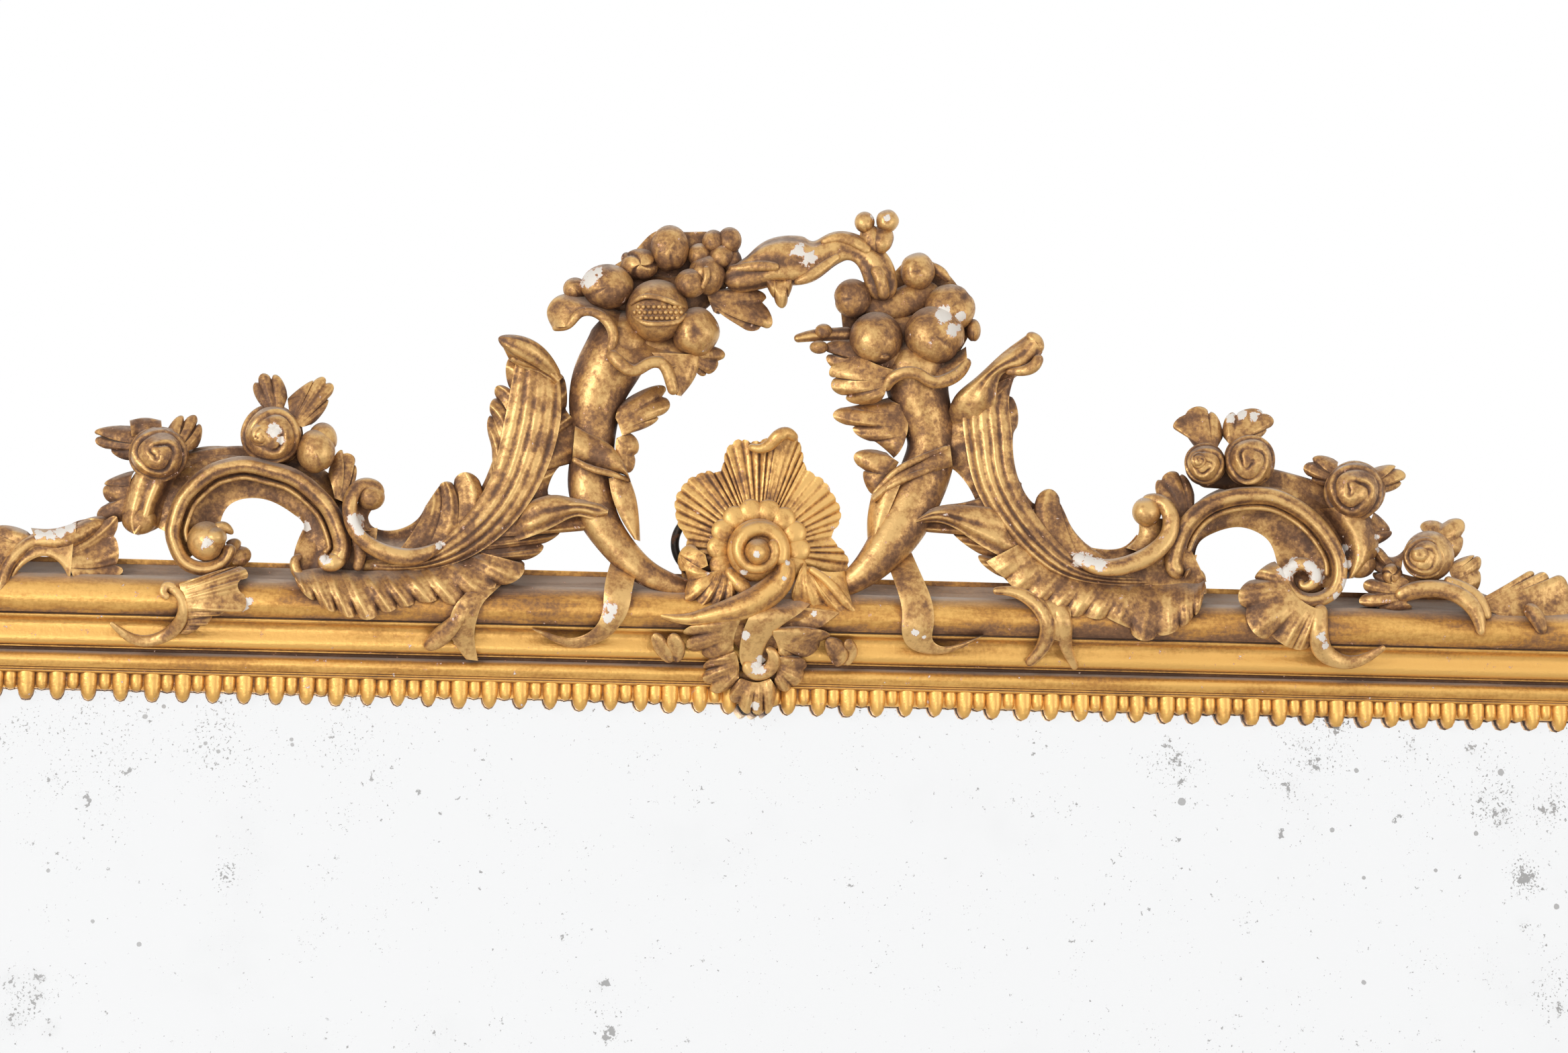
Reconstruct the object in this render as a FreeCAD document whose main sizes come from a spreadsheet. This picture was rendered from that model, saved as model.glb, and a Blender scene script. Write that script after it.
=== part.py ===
"""A carved giltwood wall mirror with a crest of scrolls, horns of plenty and a shell.

Millimetres. X runs to the right and Z up; the front faces -Y and the wall is the plane y = 0.
The origin is the middle of the bottom rail's back face. A "front" is a distance forward of the wall.
"""
import FreeCAD, Part
import math
import os

SIZES = {
    # Whole frame
    "frame_width": 1170,
    "frame_height": 1500,
    # Joints: loose fits, glued seats and cuts that run past a face
    "fit_gap": 0.3,
    "glue_gap": 0.15,
    "overrun": 2,
    # Softwood carcass behind the gilding
    "carcass_depth": 13,
    "rail_width": 60,
    "board_rebate": 12,
    "backboard_thickness": 8,
    "peg_radius": 4,
    "peg_spacing": 28,
    "nail_radius": 1,
    "nail_length": 11.5,
    "nail_head_radius": 2.8,
    "nail_head_thickness": 0.8,
    "nail_inset": 6,
    "nail_edge": 40,
    # Silvered plate and the blocks that hold it
    "glass_front": 20,
    "glass_thickness": 4,
    "glass_cover": 13.5,
    "block_length": 60,
    "block_width": 14,
    # Moulding, from the tongue tips outward
    "tongue_length": 13.2,
    "tongue_pitch": 17,
    "tongue_width": 10.4,
    "tongue_proud": 8.4,
    "double_bead_width": 1.9,
    "double_bead_proud": 11,
    "band_width": 8.7,
    "band_proud": 13.8,
    "groove_width": 2.2,
    "groove_proud": 10,
    "fillet_width": 1,
    "fillet_proud": 12.8,
    "ogee_width": 13.8,
    "ogee_proud": 24.8,
    "bead_width": 2.3,
    "bead_proud": 25.9,
    "torus_radius": 9.45,
    "torus_axis_proud": 23.8,
    "cove_width": 15.95,
    "cove_sag": 3,
    "back_fillet_width": 3,
    # Iron ring and staple
    "ring_radius": 16.8,
    "ring_wire_radius": 2.4,
    "ring_lean": 11,
    "ring_offset": 30,
    "staple_wire_radius": 1.4,
    "staple_depth": 14,
    "staple_front": 6.5,
    "ring_play": 0.6,
    # Carved crest: the distance it was seen from, and how far its layers stand forward of the wall
    "view_distance": 2200,
    "crest_back": 16,
    "scroll_front": 46,
    "rib_axis_front": 48.5,
    "leaf_front": 47,
    "lobe_back": 38,
    "lobe_front": 60,
    "shell_front": 38,
    "boss_front": 62,
    "boss_ball_front": 64,
    "boss_tail_axis_front": 58,
    "pendant_thickness": 13,
    "horn_axis_front": 37,
    "horn_rim_back": 28,
    "horn_rim_front": 52,
    "wrap_back": 40,
    "wrap_front": 53,
    "side_leaf_back": 22,
    "side_leaf_front": 40,
    "fruit_axis_front": 44,
    "back_fruit_axis_front": 38,
    "twig_axis_front": 40,
    "rose_axis_front": 46,
    "sprig_front": 44,
    "ribbon_thickness": 7,
    "dowel_radius": 3,
    "dowel_length": 34,
    "dowel_front": 30,
    "dowel_rise": 16,
}

# Where the crest was traced from: a camera to the left and below, with no roll
VIEW_YAW_DEGREES = 9.8
VIEW_PITCH_DEGREES = 9.9
FOCAL_PIXELS = 5720
IMAGE_CENTRE_PIXEL = (1167, 784)
RAIL_CENTRE_PIXEL = (1126, 860.8)

# Counts and shares
BACKBOARD_COUNT = 4
BLOCKS_PER_SIDE = 3
SECTION_POINTS = 8
TORUS_START_SHARE = 0.9
OGEE_BEND_SHARE = 0.16
RIB_DEPTH_SHARE = 1.25
HORN_DEPTH_SHARE = 0.95
ROSE_DEPTH_SHARE = 0.9

# Outlines and spines of the carvings, as pixels (u to the right, v down) of the photographed view
C_SCROLL_LEFT_OUTLINE = [
    (205, 798), (192, 792), (180, 772), (183, 738), (194, 708), (225, 690), (255, 680), (278, 669),
    (303, 665), (336, 666), (363, 670), (400, 678), (445, 690), (480, 698), (503, 722), (515, 745),
    (520, 775), (522, 805), (518, 835), (500, 848), (478, 842), (462, 848), (442, 845), (440, 828),
    (450, 808), (453, 785), (445, 770), (425, 757), (400, 745), (370, 741), (345, 750), (332, 768),
    (338, 783), (350, 800), (352, 820), (342, 842), (325, 856), (300, 860), (278, 853), (258, 832),
    (245, 808), (239, 788), (226, 784),
]
C_SCROLL_LEFT_RIB = [
    (495, 838), (508, 822), (507, 800), (500, 779), (489, 757), (467, 733), (437, 711), (404, 700),
    (369, 692), (344, 694), (316, 703), (292, 721), (273, 742), (262, 768), (257, 792), (262, 814),
    (275, 836), (300, 846), (322, 842), (337, 829), (345, 812),
]
C_SCROLL_RIGHT_OUTLINE = [
    (1742, 860), (1740, 845), (1741, 825), (1748, 800), (1758, 778), (1775, 755), (1790, 737),
    (1820, 722), (1850, 716), (1880, 714), (1920, 713), (1960, 720), (1985, 735), (2010, 752),
    (2035, 770), (2048, 800), (2050, 825), (2042, 845), (2025, 858), (2010, 863), (2003, 876),
    (1990, 893), (1970, 906), (1945, 908), (1920, 900), (1907, 882), (1903, 862), (1899, 838),
    (1894, 815), (1880, 798), (1860, 788), (1840, 785), (1815, 790), (1795, 800), (1782, 815),
    (1778, 835), (1782, 855), (1795, 864), (1790, 875), (1776, 874), (1758, 872),
]
C_SCROLL_RIGHT_RIB = [
    (1762, 856), (1748, 844), (1750, 820), (1759, 794), (1774, 772), (1797, 753), (1829, 741),
    (1859, 737), (1892, 739), (1919, 749), (1944, 765), (1966, 786), (1982, 809), (1993, 834),
    (1994, 859), (1985, 880), (1967, 892), (1945, 894), (1926, 885), (1916, 869), (1917, 852),
    (1930, 842),
]
RIB_RADIUS_PIXELS = 13.5
RIB_END_RADIUS_PIXELS = 8

ACANTHUS_LEFT_OUTLINE = [
    (440, 856), (455, 874), (478, 901), (494, 907), (520, 917), (541, 922), (575, 912), (600, 900),
    (640, 894), (669, 896), (707, 885), (745, 868), (774, 851), (779, 834), (799, 826), (804, 812),
    (827, 800), (832, 789), (860, 779), (880, 775), (898, 766), (896, 750), (866, 746), (836, 744),
    (816, 738), (809, 726), (822, 712), (842, 690), (860, 668), (863, 632), (846, 620), (843, 590),
    (841, 566), (828, 552), (812, 525), (793, 510), (768, 500), (745, 501), (752, 518), (763, 536),
    (758, 556), (763, 575), (742, 577), (739, 592), (730, 606), (733, 619), (726, 632), (732, 650),
    (737, 672), (728, 706), (717, 728), (704, 707), (690, 708), (673, 722), (655, 722), (646, 737),
    (634, 756), (622, 775), (598, 789), (575, 789), (550, 780), (528, 800), (505, 830), (470, 843),
]
ACANTHUS_LEFT_LOBES = [
    (440, 856), (455, 874), (478, 901), (494, 907), (520, 917), (541, 922), (575, 912), (600, 900),
    (640, 894), (669, 896), (707, 885), (745, 868), (774, 851), (760, 830), (720, 815), (680, 825),
    (630, 842), (575, 846), (520, 840), (470, 843),
]
ACANTHUS_RIGHT_OUTLINE = [
    (1538, 492), (1554, 521), (1547, 543), (1516, 558), (1503, 574), (1500, 590), (1510, 606),
    (1513, 636), (1509, 674), (1518, 714), (1538, 746), (1559, 731), (1574, 750), (1586, 775),
    (1603, 803), (1635, 818), (1667, 818), (1695, 806), (1725, 820), (1745, 845), (1770, 872),
    (1784, 884), (1776, 908), (1766, 924), (1750, 910), (1737, 932), (1715, 942), (1694, 949),
    (1678, 944), (1683, 918), (1654, 919), (1622, 918), (1597, 914), (1570, 896), (1535, 888),
    (1513, 873), (1494, 860), (1470, 848), (1463, 832), (1443, 816), (1425, 796), (1400, 788),
    (1376, 790), (1362, 782), (1378, 764), (1405, 750), (1430, 753), (1452, 755), (1444, 732),
    (1432, 706), (1416, 694), (1418, 660), (1413, 625), (1424, 594), (1456, 562), (1495, 530),
    (1516, 504),
]
ACANTHUS_RIGHT_LOBES = [
    (1784, 884), (1776, 908), (1766, 924), (1750, 910), (1737, 932), (1715, 942), (1694, 949),
    (1678, 944), (1683, 918), (1654, 919), (1622, 918), (1597, 914), (1570, 896), (1535, 888),
    (1513, 873), (1530, 848), (1570, 846), (1620, 858), (1667, 862), (1715, 862), (1755, 866),
]
ACANTHUS_TAIL_LEFT_OUTLINE = [
    (750, 866), (726, 884), (709, 905), (704, 932), (706, 960), (712, 986), (698, 980), (688, 962),
    (672, 966), (645, 971), (626, 963), (640, 949), (662, 936), (670, 912), (682, 896), (712, 880),
]
ACANTHUS_TAIL_RIGHT_OUTLINE = [
    (1474, 878), (1502, 876), (1532, 884), (1558, 902), (1578, 916), (1594, 930), (1596, 960),
    (1601, 992), (1586, 986), (1577, 962), (1568, 952), (1556, 972), (1528, 990), (1548, 962),
    (1554, 940), (1546, 916), (1522, 898), (1494, 890),
]
S_SCROLL_LEFT_SPINE = [
    (542, 722), (527, 738), (522, 762), (530, 791), (552, 812), (585, 826), (622, 827), (655, 814),
]
S_SCROLL_LEFT_KNOB = (551, 738)
S_SCROLL_RIGHT_SPINE = [
    (1722, 744), (1738, 754), (1746, 778), (1740, 801), (1722, 822), (1695, 837), (1660, 845),
    (1630, 841), (1602, 826),
]
S_SCROLL_RIGHT_KNOB = (1710, 763)
S_SCROLL_RADIUS_PIXELS = 10.5
S_SCROLL_KNOB_PIXELS = 20

LEAF_FALL_LEFT_OUTLINE = [
    (241, 884), (252, 873), (275, 862), (305, 858), (340, 850), (366, 849), (369, 862), (364, 884),
    (360, 906), (343, 911), (325, 907), (318, 922), (304, 937), (286, 939), (262, 945), (240, 955),
    (214, 959), (185, 950), (163, 925), (190, 937), (218, 943), (246, 934), (261, 915), (260, 895),
]
LEAF_FALL_RIGHT_OUTLINE = [
    (1848, 880), (1862, 866), (1876, 850), (1896, 841), (1912, 862), (1922, 888), (1948, 903),
    (1976, 906), (1978, 930), (1979, 950), (1988, 967), (2006, 979), (2028, 979), (2062, 960),
    (2048, 981), (2024, 993), (1996, 997), (1970, 985), (1950, 970), (1932, 966), (1916, 955),
    (1912, 943), (1894, 944), (1876, 940), (1868, 920), (1856, 904),
]
RIBBON_LEFT_OUTLINE = [
    (908, 850), (938, 852), (939, 880), (935, 905), (924, 928), (904, 947), (880, 959), (850, 963),
    (820, 956), (792, 940), (818, 944), (850, 951), (875, 943), (892, 926), (898, 902), (900, 874),
]
RIBBON_RIGHT_OUTLINE = [
    (1322, 854), (1350, 852), (1374, 869), (1385, 895), (1388, 930), (1388, 960), (1412, 966),
    (1462, 946), (1440, 963), (1410, 974), (1378, 973), (1354, 964), (1345, 944), (1345, 915),
    (1339, 890),
]

# Horns of plenty: spine, radius and the turned rim of the mouth
HORN_LEFT_SPINE = [
    (1008, 872), (962, 845), (930, 813), (908, 778), (892, 737), (886, 702), (886, 657), (892, 612),
    (906, 568), (916, 530),
]
HORN_LEFT_RADII_PIXELS = [15, 19, 22, 24, 28, 31, 36, 39, 42, 48]
HORN_LEFT_RIM = [
    (816, 452), (828, 440), (858, 440), (900, 458), (950, 480), (1000, 505), (1036, 532), (1034, 562),
    (1020, 584), (1004, 591), (996, 570), (985, 550), (966, 545), (945, 554), (918, 546), (904, 524),
    (905, 504), (892, 484), (872, 474), (852, 480), (834, 488), (820, 474),
]
HORN_RIGHT_SPINE = [
    (1266, 870), (1305, 835), (1338, 800), (1358, 767), (1371, 730), (1380, 693), (1383, 656),
    (1381, 620), (1375, 585), (1372, 560),
]
HORN_RIGHT_RADII_PIXELS = [16, 22, 26, 30, 32, 34, 36, 38, 41, 44]
HORN_RIGHT_RIM = [
    (1300, 594), (1318, 580), (1330, 562), (1350, 552), (1372, 556), (1392, 570), (1414, 564),
    (1438, 546), (1443, 520), (1420, 505), (1370, 500), (1310, 508), (1268, 522), (1242, 545),
    (1242, 570), (1262, 580), (1278, 596),
]
HORN_LEFT_WRAP = [
    (862, 641), (884, 652), (908, 664), (928, 692), (938, 716), (918, 707), (890, 702), (864, 690),
    (858, 665),
]
HORN_RIGHT_WRAP = [
    (1302, 738), (1330, 706), (1362, 686), (1400, 676), (1414, 690), (1385, 706), (1350, 716),
    (1325, 728),
]
HORN_LEFT_LEAVES = [
    [
        (908, 664), (916, 630), (924, 600), (940, 586), (972, 577), (986, 588), (993, 602), (984, 619),
        (970, 630), (945, 636), (933, 644), (946, 657), (943, 676), (941, 700), (926, 690),
    ],
    [(940, 708), (944, 735), (951, 765), (953, 803), (940, 790), (924, 760), (912, 730), (918, 712)],
]
HORN_RIGHT_LEAVES = [
    [
        (1352, 652), (1342, 625), (1325, 594), (1300, 600), (1268, 606), (1246, 620), (1258, 631),
        (1282, 636), (1282, 650), (1302, 658), (1322, 676),
    ],
    [
        (1322, 676), (1300, 671), (1279, 678), (1292, 702), (1294, 735), (1290, 780), (1294, 814),
        (1312, 800), (1330, 770), (1326, 738), (1340, 705), (1350, 680),
    ],
]

# Fruit: centre and radius, and whether it stands in the back row
LEFT_FRUIT = [
    ((979, 462), 46, False), ((1035, 492), 35, False), ((905, 428), 37, False), ((856, 428), 18, True),
    ((995, 376), 31, True), ((1042, 416), 28, False), ((958, 402), 26.5, True), ((1062, 362), 15, True),
    ((1085, 358), 15, True), ((1073, 388), 24, True),
]
RIGHT_FRUIT = [
    ((1304, 504), 39, False), ((1391, 499), 44, False), ((1414, 459), 36, True), ((1367, 405), 28, True),
    ((1268, 447), 30, False), ((1345, 450), 26, True),
]
LEFT_FRUIT_LEAVES = [
    [(1042, 446), (1075, 436), (1110, 436), (1136, 450), (1147, 478), (1116, 488), (1096, 470), (1062, 466)],
    [(1014, 512), (1050, 516), (1072, 526), (1068, 548), (1042, 556), (1026, 540)],
]
RIGHT_FRUIT_LEAVES = [
    [(1266, 488), (1240, 490), (1222, 484), (1182, 504), (1214, 524), (1240, 514), (1270, 516)],
    [(1236, 520), (1258, 514), (1290, 540), (1282, 566), (1256, 574), (1241, 560)],
    [(1386, 395), (1400, 392), (1414, 418), (1398, 424)],
]
TWIG_SPINE = [
    (1082, 412), (1125, 402), (1170, 390), (1215, 381), (1258, 371), (1294, 382), (1312, 410), (1320, 446),
]
TWIG_RADII_PIXELS = [17, 24, 31, 26, 21, 21, 23, 22]
TWIG_STUB_SPINE = [(1158, 400), (1160, 424), (1162, 440), (1164, 456)]
TWIG_STUB_RADII_PIXELS = [18, 16, 13, 8]
TWIG_BERRIES = [((1288, 333), 17), ((1321, 330), 17), ((1308, 356), 16)]

# Shell: fan, boss, tail and the leaves under it
SHELL_FAN_OUTLINE = [
    (1012, 826), (1026, 800), (1010, 784), (1006, 742), (1022, 720), (1056, 703), (1076, 686),
    (1086, 664), (1104, 656), (1128, 658), (1152, 641), (1178, 640), (1194, 676), (1200, 702),
    (1226, 716), (1240, 735), (1251, 766), (1236, 797), (1258, 820), (1262, 845), (1248, 878),
    (1190, 890), (1130, 892), (1070, 890), (1024, 876),
]
SHELL_BOSS_CENTRE = (1132, 820)
SHELL_BOSS_RADIUS_PIXELS = 48
SHELL_BALL_RADIUS_PIXELS = 20
SHELL_TAIL_SPINE = [
    (1176, 836), (1168, 860), (1146, 882), (1112, 902), (1075, 915), (1030, 922), (990, 917),
]
SHELL_TAIL_RADII_PIXELS = [13, 16, 18, 17, 13, 9, 4]
SHELL_LEAF_LEFT = [
    (1010, 822), (1034, 812), (1062, 832), (1084, 856), (1096, 888), (1072, 900), (1040, 908),
    (1014, 906), (1026, 888), (1022, 862),
]
SHELL_LEAF_RIGHT = [
    (1198, 834), (1226, 832), (1256, 832), (1260, 862), (1262, 890), (1282, 912), (1258, 922),
    (1226, 908), (1196, 900), (1178, 884), (1188, 858),
]
SHELL_PENDANT_OUTLINE = [
    (1166, 930), (1190, 940), (1224, 948), (1250, 946), (1270, 964), (1264, 988), (1246, 996),
    (1232, 978), (1206, 978), (1196, 1000), (1176, 1018), (1158, 1030), (1148, 1052), (1124, 1060),
    (1102, 1050), (1088, 1032), (1062, 1026), (1051, 1008), (1066, 984), (1048, 968), (1022, 964),
    (1008, 990), (986, 984), (976, 968), (969, 950), (990, 936), (1022, 943), (1056, 948),
    (1092, 932), (1120, 910), (1156, 906),
]

# Roses, buds and their leaves, then the sprigs at the outer ends
ROSES_LEFT = [((235, 673), 40), ((409, 648), 44), ((476, 670), 33)]
ROSES_RIGHT = [((2016, 730), 42), ((1862, 686), 36), ((1797, 691), 30)]
ROSE_LEAVES_LEFT = [
    [(200, 650), (170, 640), (150, 642), (149, 660), (178, 672), (196, 680)],
    [(198, 646), (194, 626), (218, 622), (238, 626), (240, 644)],
    [(256, 646), (266, 628), (290, 622), (298, 640), (294, 662), (272, 668)],
    [(402, 614), (384, 592), (383, 566), (398, 561), (416, 572), (428, 590), (426, 616)],
    [(424, 616), (432, 586), (460, 568), (480, 566), (493, 578), (484, 604), (462, 628), (444, 634)],
    [(494, 676), (514, 673), (528, 686), (520, 704), (518, 722), (506, 730), (496, 704)],
    [(196, 704), (168, 714), (160, 728), (164, 742), (180, 752), (150, 768), (184, 770), (188, 730)],
]
ROSE_LEAVES_RIGHT = [
    [(1984, 712), (1958, 716), (1946, 698), (1966, 682), (1990, 690), (1996, 702)],
    [(2026, 706), (2064, 697), (2086, 704), (2084, 721), (2058, 726), (2028, 736)],
    [(2044, 762), (2062, 784), (2065, 796), (2050, 808), (2040, 790)],
    [(1786, 672), (1770, 648), (1752, 634), (1770, 612), (1798, 618), (1820, 640), (1818, 672)],
    [(1826, 668), (1821, 640), (1830, 622), (1872, 612), (1888, 628), (1876, 648), (1848, 660)],
    [(1772, 704), (1742, 706), (1722, 720), (1724, 740), (1748, 740), (1762, 758), (1784, 736)],
]
SPRIG_LEFT_OUTLINE = [
    (174, 771), (145, 773), (113, 776), (98, 787), (72, 789), (48, 792), (28, 797), (8, 785),
    (-18, 796), (-48, 798), (-78, 774), (-98, 768), (-108, 784), (-128, 778), (-140, 800), (-132, 828),
    (-118, 848), (-70, 862), (-20, 876), (6, 872), (24, 850), (48, 843), (72, 852), (100, 866),
    (140, 868), (168, 862), (172, 834), (160, 794),
]
SPRIG_RIGHT_OUTLINE = [
    (2027, 898), (2040, 871), (2056, 866), (2046, 832), (2056, 818), (2082, 826), (2098, 800),
    (2120, 779), (2146, 781), (2173, 777), (2175, 806), (2164, 830), (2188, 829), (2201, 838),
    (2196, 876), (2224, 885), (2248, 880), (2270, 862), (2296, 854), (2306, 872), (2326, 863),
    (2334, 890), (2340, 918), (2312, 930), (2296, 950), (2276, 930), (2240, 926), (2214, 948),
    (2198, 944), (2194, 918), (2172, 896), (2136, 888), (2104, 904), (2060, 906),
]
SPRIG_RIGHT_ROSE = ((2127, 828), 36)

# Dowels that pin the crest to the top moulding, by the column they stand in
DOWEL_COLUMNS_PIXELS = [120, 300, 590, 985, 1132, 1284, 1640, 1940, 2070]

doc = FreeCAD.newDocument("giltwood_mirror")
sheet = doc.addObject("Spreadsheet::Sheet", "Sizes")
for row, (alias, value) in enumerate(SIZES.items(), start=1):
    sheet.set(f"A{row}", alias)
    sheet.set(f"B{row}", str(value))
    sheet.setAlias(f"B{row}", alias)
doc.recompute()

finished = []


def size(alias):
    """Return one named size from the sheet."""
    return float(sheet.get(alias))


def finish(feature, label):
    """Name a finished sub-part."""
    feature.Label = label
    finished.append(feature)
    return feature


def feature(label, shape):
    """Put a shape made from traced curves into the document as a sub-part."""
    made = doc.addObject("Part::Feature", label)
    made.Shape = shape
    return finish(made, label)


def bind(target, **formulas):
    """Bind properties of a document object to formulas of the sheet's sizes."""
    for name, formula in formulas.items():
        target.setExpression(name.replace("_at_", ".").replace("At", "Placement.Base."), formula)
    return target


def box(name, length, width, height, x, y, z):
    """Add a box whose edges and low corner follow formulas."""
    made = doc.addObject("Part::Box", name)
    return bind(made, Length=length, Width=width, Height=height, Atx=x, Aty=y, Atz=z)


def rod(name, radius, height, x, y, z, along_y=True):
    """Add a cylinder that runs back along +Y, or up, from a point given by formulas."""
    made = doc.addObject("Part::Cylinder", name)
    if along_y:
        made.Placement.Rotation = FreeCAD.Rotation(FreeCAD.Vector(1, 0, 0), -90)
    return bind(made, Radius=radius, Height=height, Atx=x, Aty=y, Atz=z)


def group(name, members):
    """Gather separate solids under one name."""
    made = doc.addObject("Part::Compound", name)
    made.Links = members
    return made


def cut(name, base, tools):
    """Cut a list of tools from a base object."""
    made = doc.addObject("Part::Cut", name)
    made.Base = base
    made.Tool = tools[0] if len(tools) == 1 else group(name + "_tools", tools)
    return made


# Sizes that follow from the driving ones
sight_edge_width = size("tongue_length") + size("double_bead_width")
torus_start = (
    sight_edge_width
    + size("band_width")
    + size("groove_width")
    + size("fillet_width")
    + size("ogee_width")
    + size("bead_width")
)
torus_centre = torus_start + TORUS_START_SHARE * size("torus_radius")
moulding_width = torus_centre + size("torus_radius") + size("cove_width")
face_width = moulding_width + size("back_fillet_width")
sight_half_width = size("frame_width") / 2 - face_width
sight_half_height = size("frame_height") / 2 - face_width
frame_top = size("frame_height") - size("rail_width") / 2
frame_middle = frame_top - size("frame_height") / 2
glass_front = size("glass_front")

HALF_WIDTH = "Sizes.frame_width / 2"
FRAME_TOP = "(Sizes.frame_height - Sizes.rail_width / 2)"
FRAME_BOTTOM = "(-Sizes.rail_width / 2)"


def carcass_rail(name, low, rebate_low, pegs):
    """A rail across the full width, halved at the back of its ends and rebated for the boards."""
    body = box(name + "_bar", "Sizes.frame_width", "Sizes.carcass_depth", "Sizes.rail_width",
               f"-{HALF_WIDTH}", "-Sizes.carcass_depth", low)
    laps = [
        box(f"{name}_lap_{side}", "Sizes.rail_width + Sizes.overrun",
            "Sizes.carcass_depth / 2 + Sizes.overrun", "Sizes.rail_width + 2 * Sizes.overrun",
            x, "-Sizes.carcass_depth / 2", f"{low} - Sizes.overrun")
        for side, x in (("left", f"-{HALF_WIDTH} - Sizes.overrun"),
                        ("right", f"{HALF_WIDTH} - Sizes.rail_width"))
    ]
    rebate = box(name + "_rebate", "Sizes.frame_width - 2 * Sizes.rail_width + 2 * Sizes.board_rebate",
                 "Sizes.backboard_thickness + Sizes.overrun", "Sizes.board_rebate + Sizes.overrun",
                 f"-{HALF_WIDTH} + Sizes.rail_width - Sizes.board_rebate",
                 "-Sizes.backboard_thickness", rebate_low)
    return cut(name, body, laps + [rebate, pegs])


def carcass_stile(name, low, rebate_low, pegs):
    """A stile of the full height, halved at the front of its ends and rebated for the boards."""
    body = box(name + "_bar", "Sizes.rail_width", "Sizes.carcass_depth", "Sizes.frame_height",
               low, "-Sizes.carcass_depth", FRAME_BOTTOM)
    laps = [
        box(f"{name}_lap_{end}", "Sizes.rail_width + 2 * Sizes.overrun",
            "Sizes.carcass_depth / 2 + Sizes.overrun", "Sizes.rail_width + Sizes.overrun",
            f"{low} - Sizes.overrun", "-Sizes.carcass_depth - Sizes.overrun", z)
        for end, z in (("low", f"{FRAME_BOTTOM} - Sizes.overrun"),
                       ("high", f"{FRAME_TOP} - Sizes.rail_width"))
    ]
    rebate = box(name + "_rebate", "Sizes.board_rebate + Sizes.overrun",
                 "Sizes.backboard_thickness + Sizes.overrun",
                 "Sizes.frame_height - 2 * Sizes.rail_width + 2 * Sizes.board_rebate",
                 rebate_low, "-Sizes.backboard_thickness",
                 f"{FRAME_BOTTOM} + Sizes.rail_width - Sizes.board_rebate")
    return cut(name, body, laps + [rebate, pegs])


def corner_pegs(name, radius):
    """Two pegs through each half-lapped corner."""
    members = []
    for side in (-1, 1):
        for level, height in (("low", FRAME_BOTTOM + " + Sizes.rail_width / 2"),
                              ("high", FRAME_TOP + " - Sizes.rail_width / 2")):
            for step in (-1, 1):
                x = f"{side} * ({HALF_WIDTH} - Sizes.rail_width / 2 + {step} * Sizes.peg_spacing / 2)"
                z = f"{height} + {step} * Sizes.peg_spacing / 2"
                members.append(rod(f"{name}_{side}_{level}_{step}", radius, "Sizes.carcass_depth", x,
                                   "-Sizes.carcass_depth", z))
    return group(name, members)


BOARD_LENGTH = "(Sizes.frame_width - 2 * Sizes.rail_width + 2 * Sizes.board_rebate - 2 * Sizes.fit_gap)"
BOARDS_HEIGHT = "(Sizes.frame_height - 2 * Sizes.rail_width + 2 * Sizes.board_rebate - Sizes.fit_gap)"
BOARD_PITCH = f"({BOARDS_HEIGHT} / {BACKBOARD_COUNT})"
BOARDS_LOW = f"({FRAME_BOTTOM} + Sizes.rail_width - Sizes.board_rebate + Sizes.fit_gap)"


def nail_rods(name, shank_radius, head_radius, clearance):
    """Nails through each board's ends into the stiles, with sunk heads flush with the back."""
    members = []
    for board in range(BACKBOARD_COUNT):
        for side in (-1, 1):
            for edge in (0, 1):
                tag = f"{name}_{board}_{side}_{edge}"
                x = f"{side} * ({BOARD_LENGTH} / 2 - Sizes.nail_inset)"
                inset = f"Sizes.nail_edge + {edge} * ({BOARD_PITCH} - 2 * Sizes.nail_edge)"
                z = f"{BOARDS_LOW} + {board} * {BOARD_PITCH} + {inset}"
                shank = rod(tag + "_shank", shank_radius, f"Sizes.nail_length + {clearance}", x,
                            f"-Sizes.nail_length - {clearance}", z)
                head = rod(tag + "_head", head_radius, f"Sizes.nail_head_thickness + {clearance}", x,
                           f"-Sizes.nail_head_thickness - {clearance}", z)
                nail = doc.addObject("Part::Fuse", tag)
                nail.Base = shank
                nail.Tool = head
                members.append(nail)
    return group(name, members)


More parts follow.
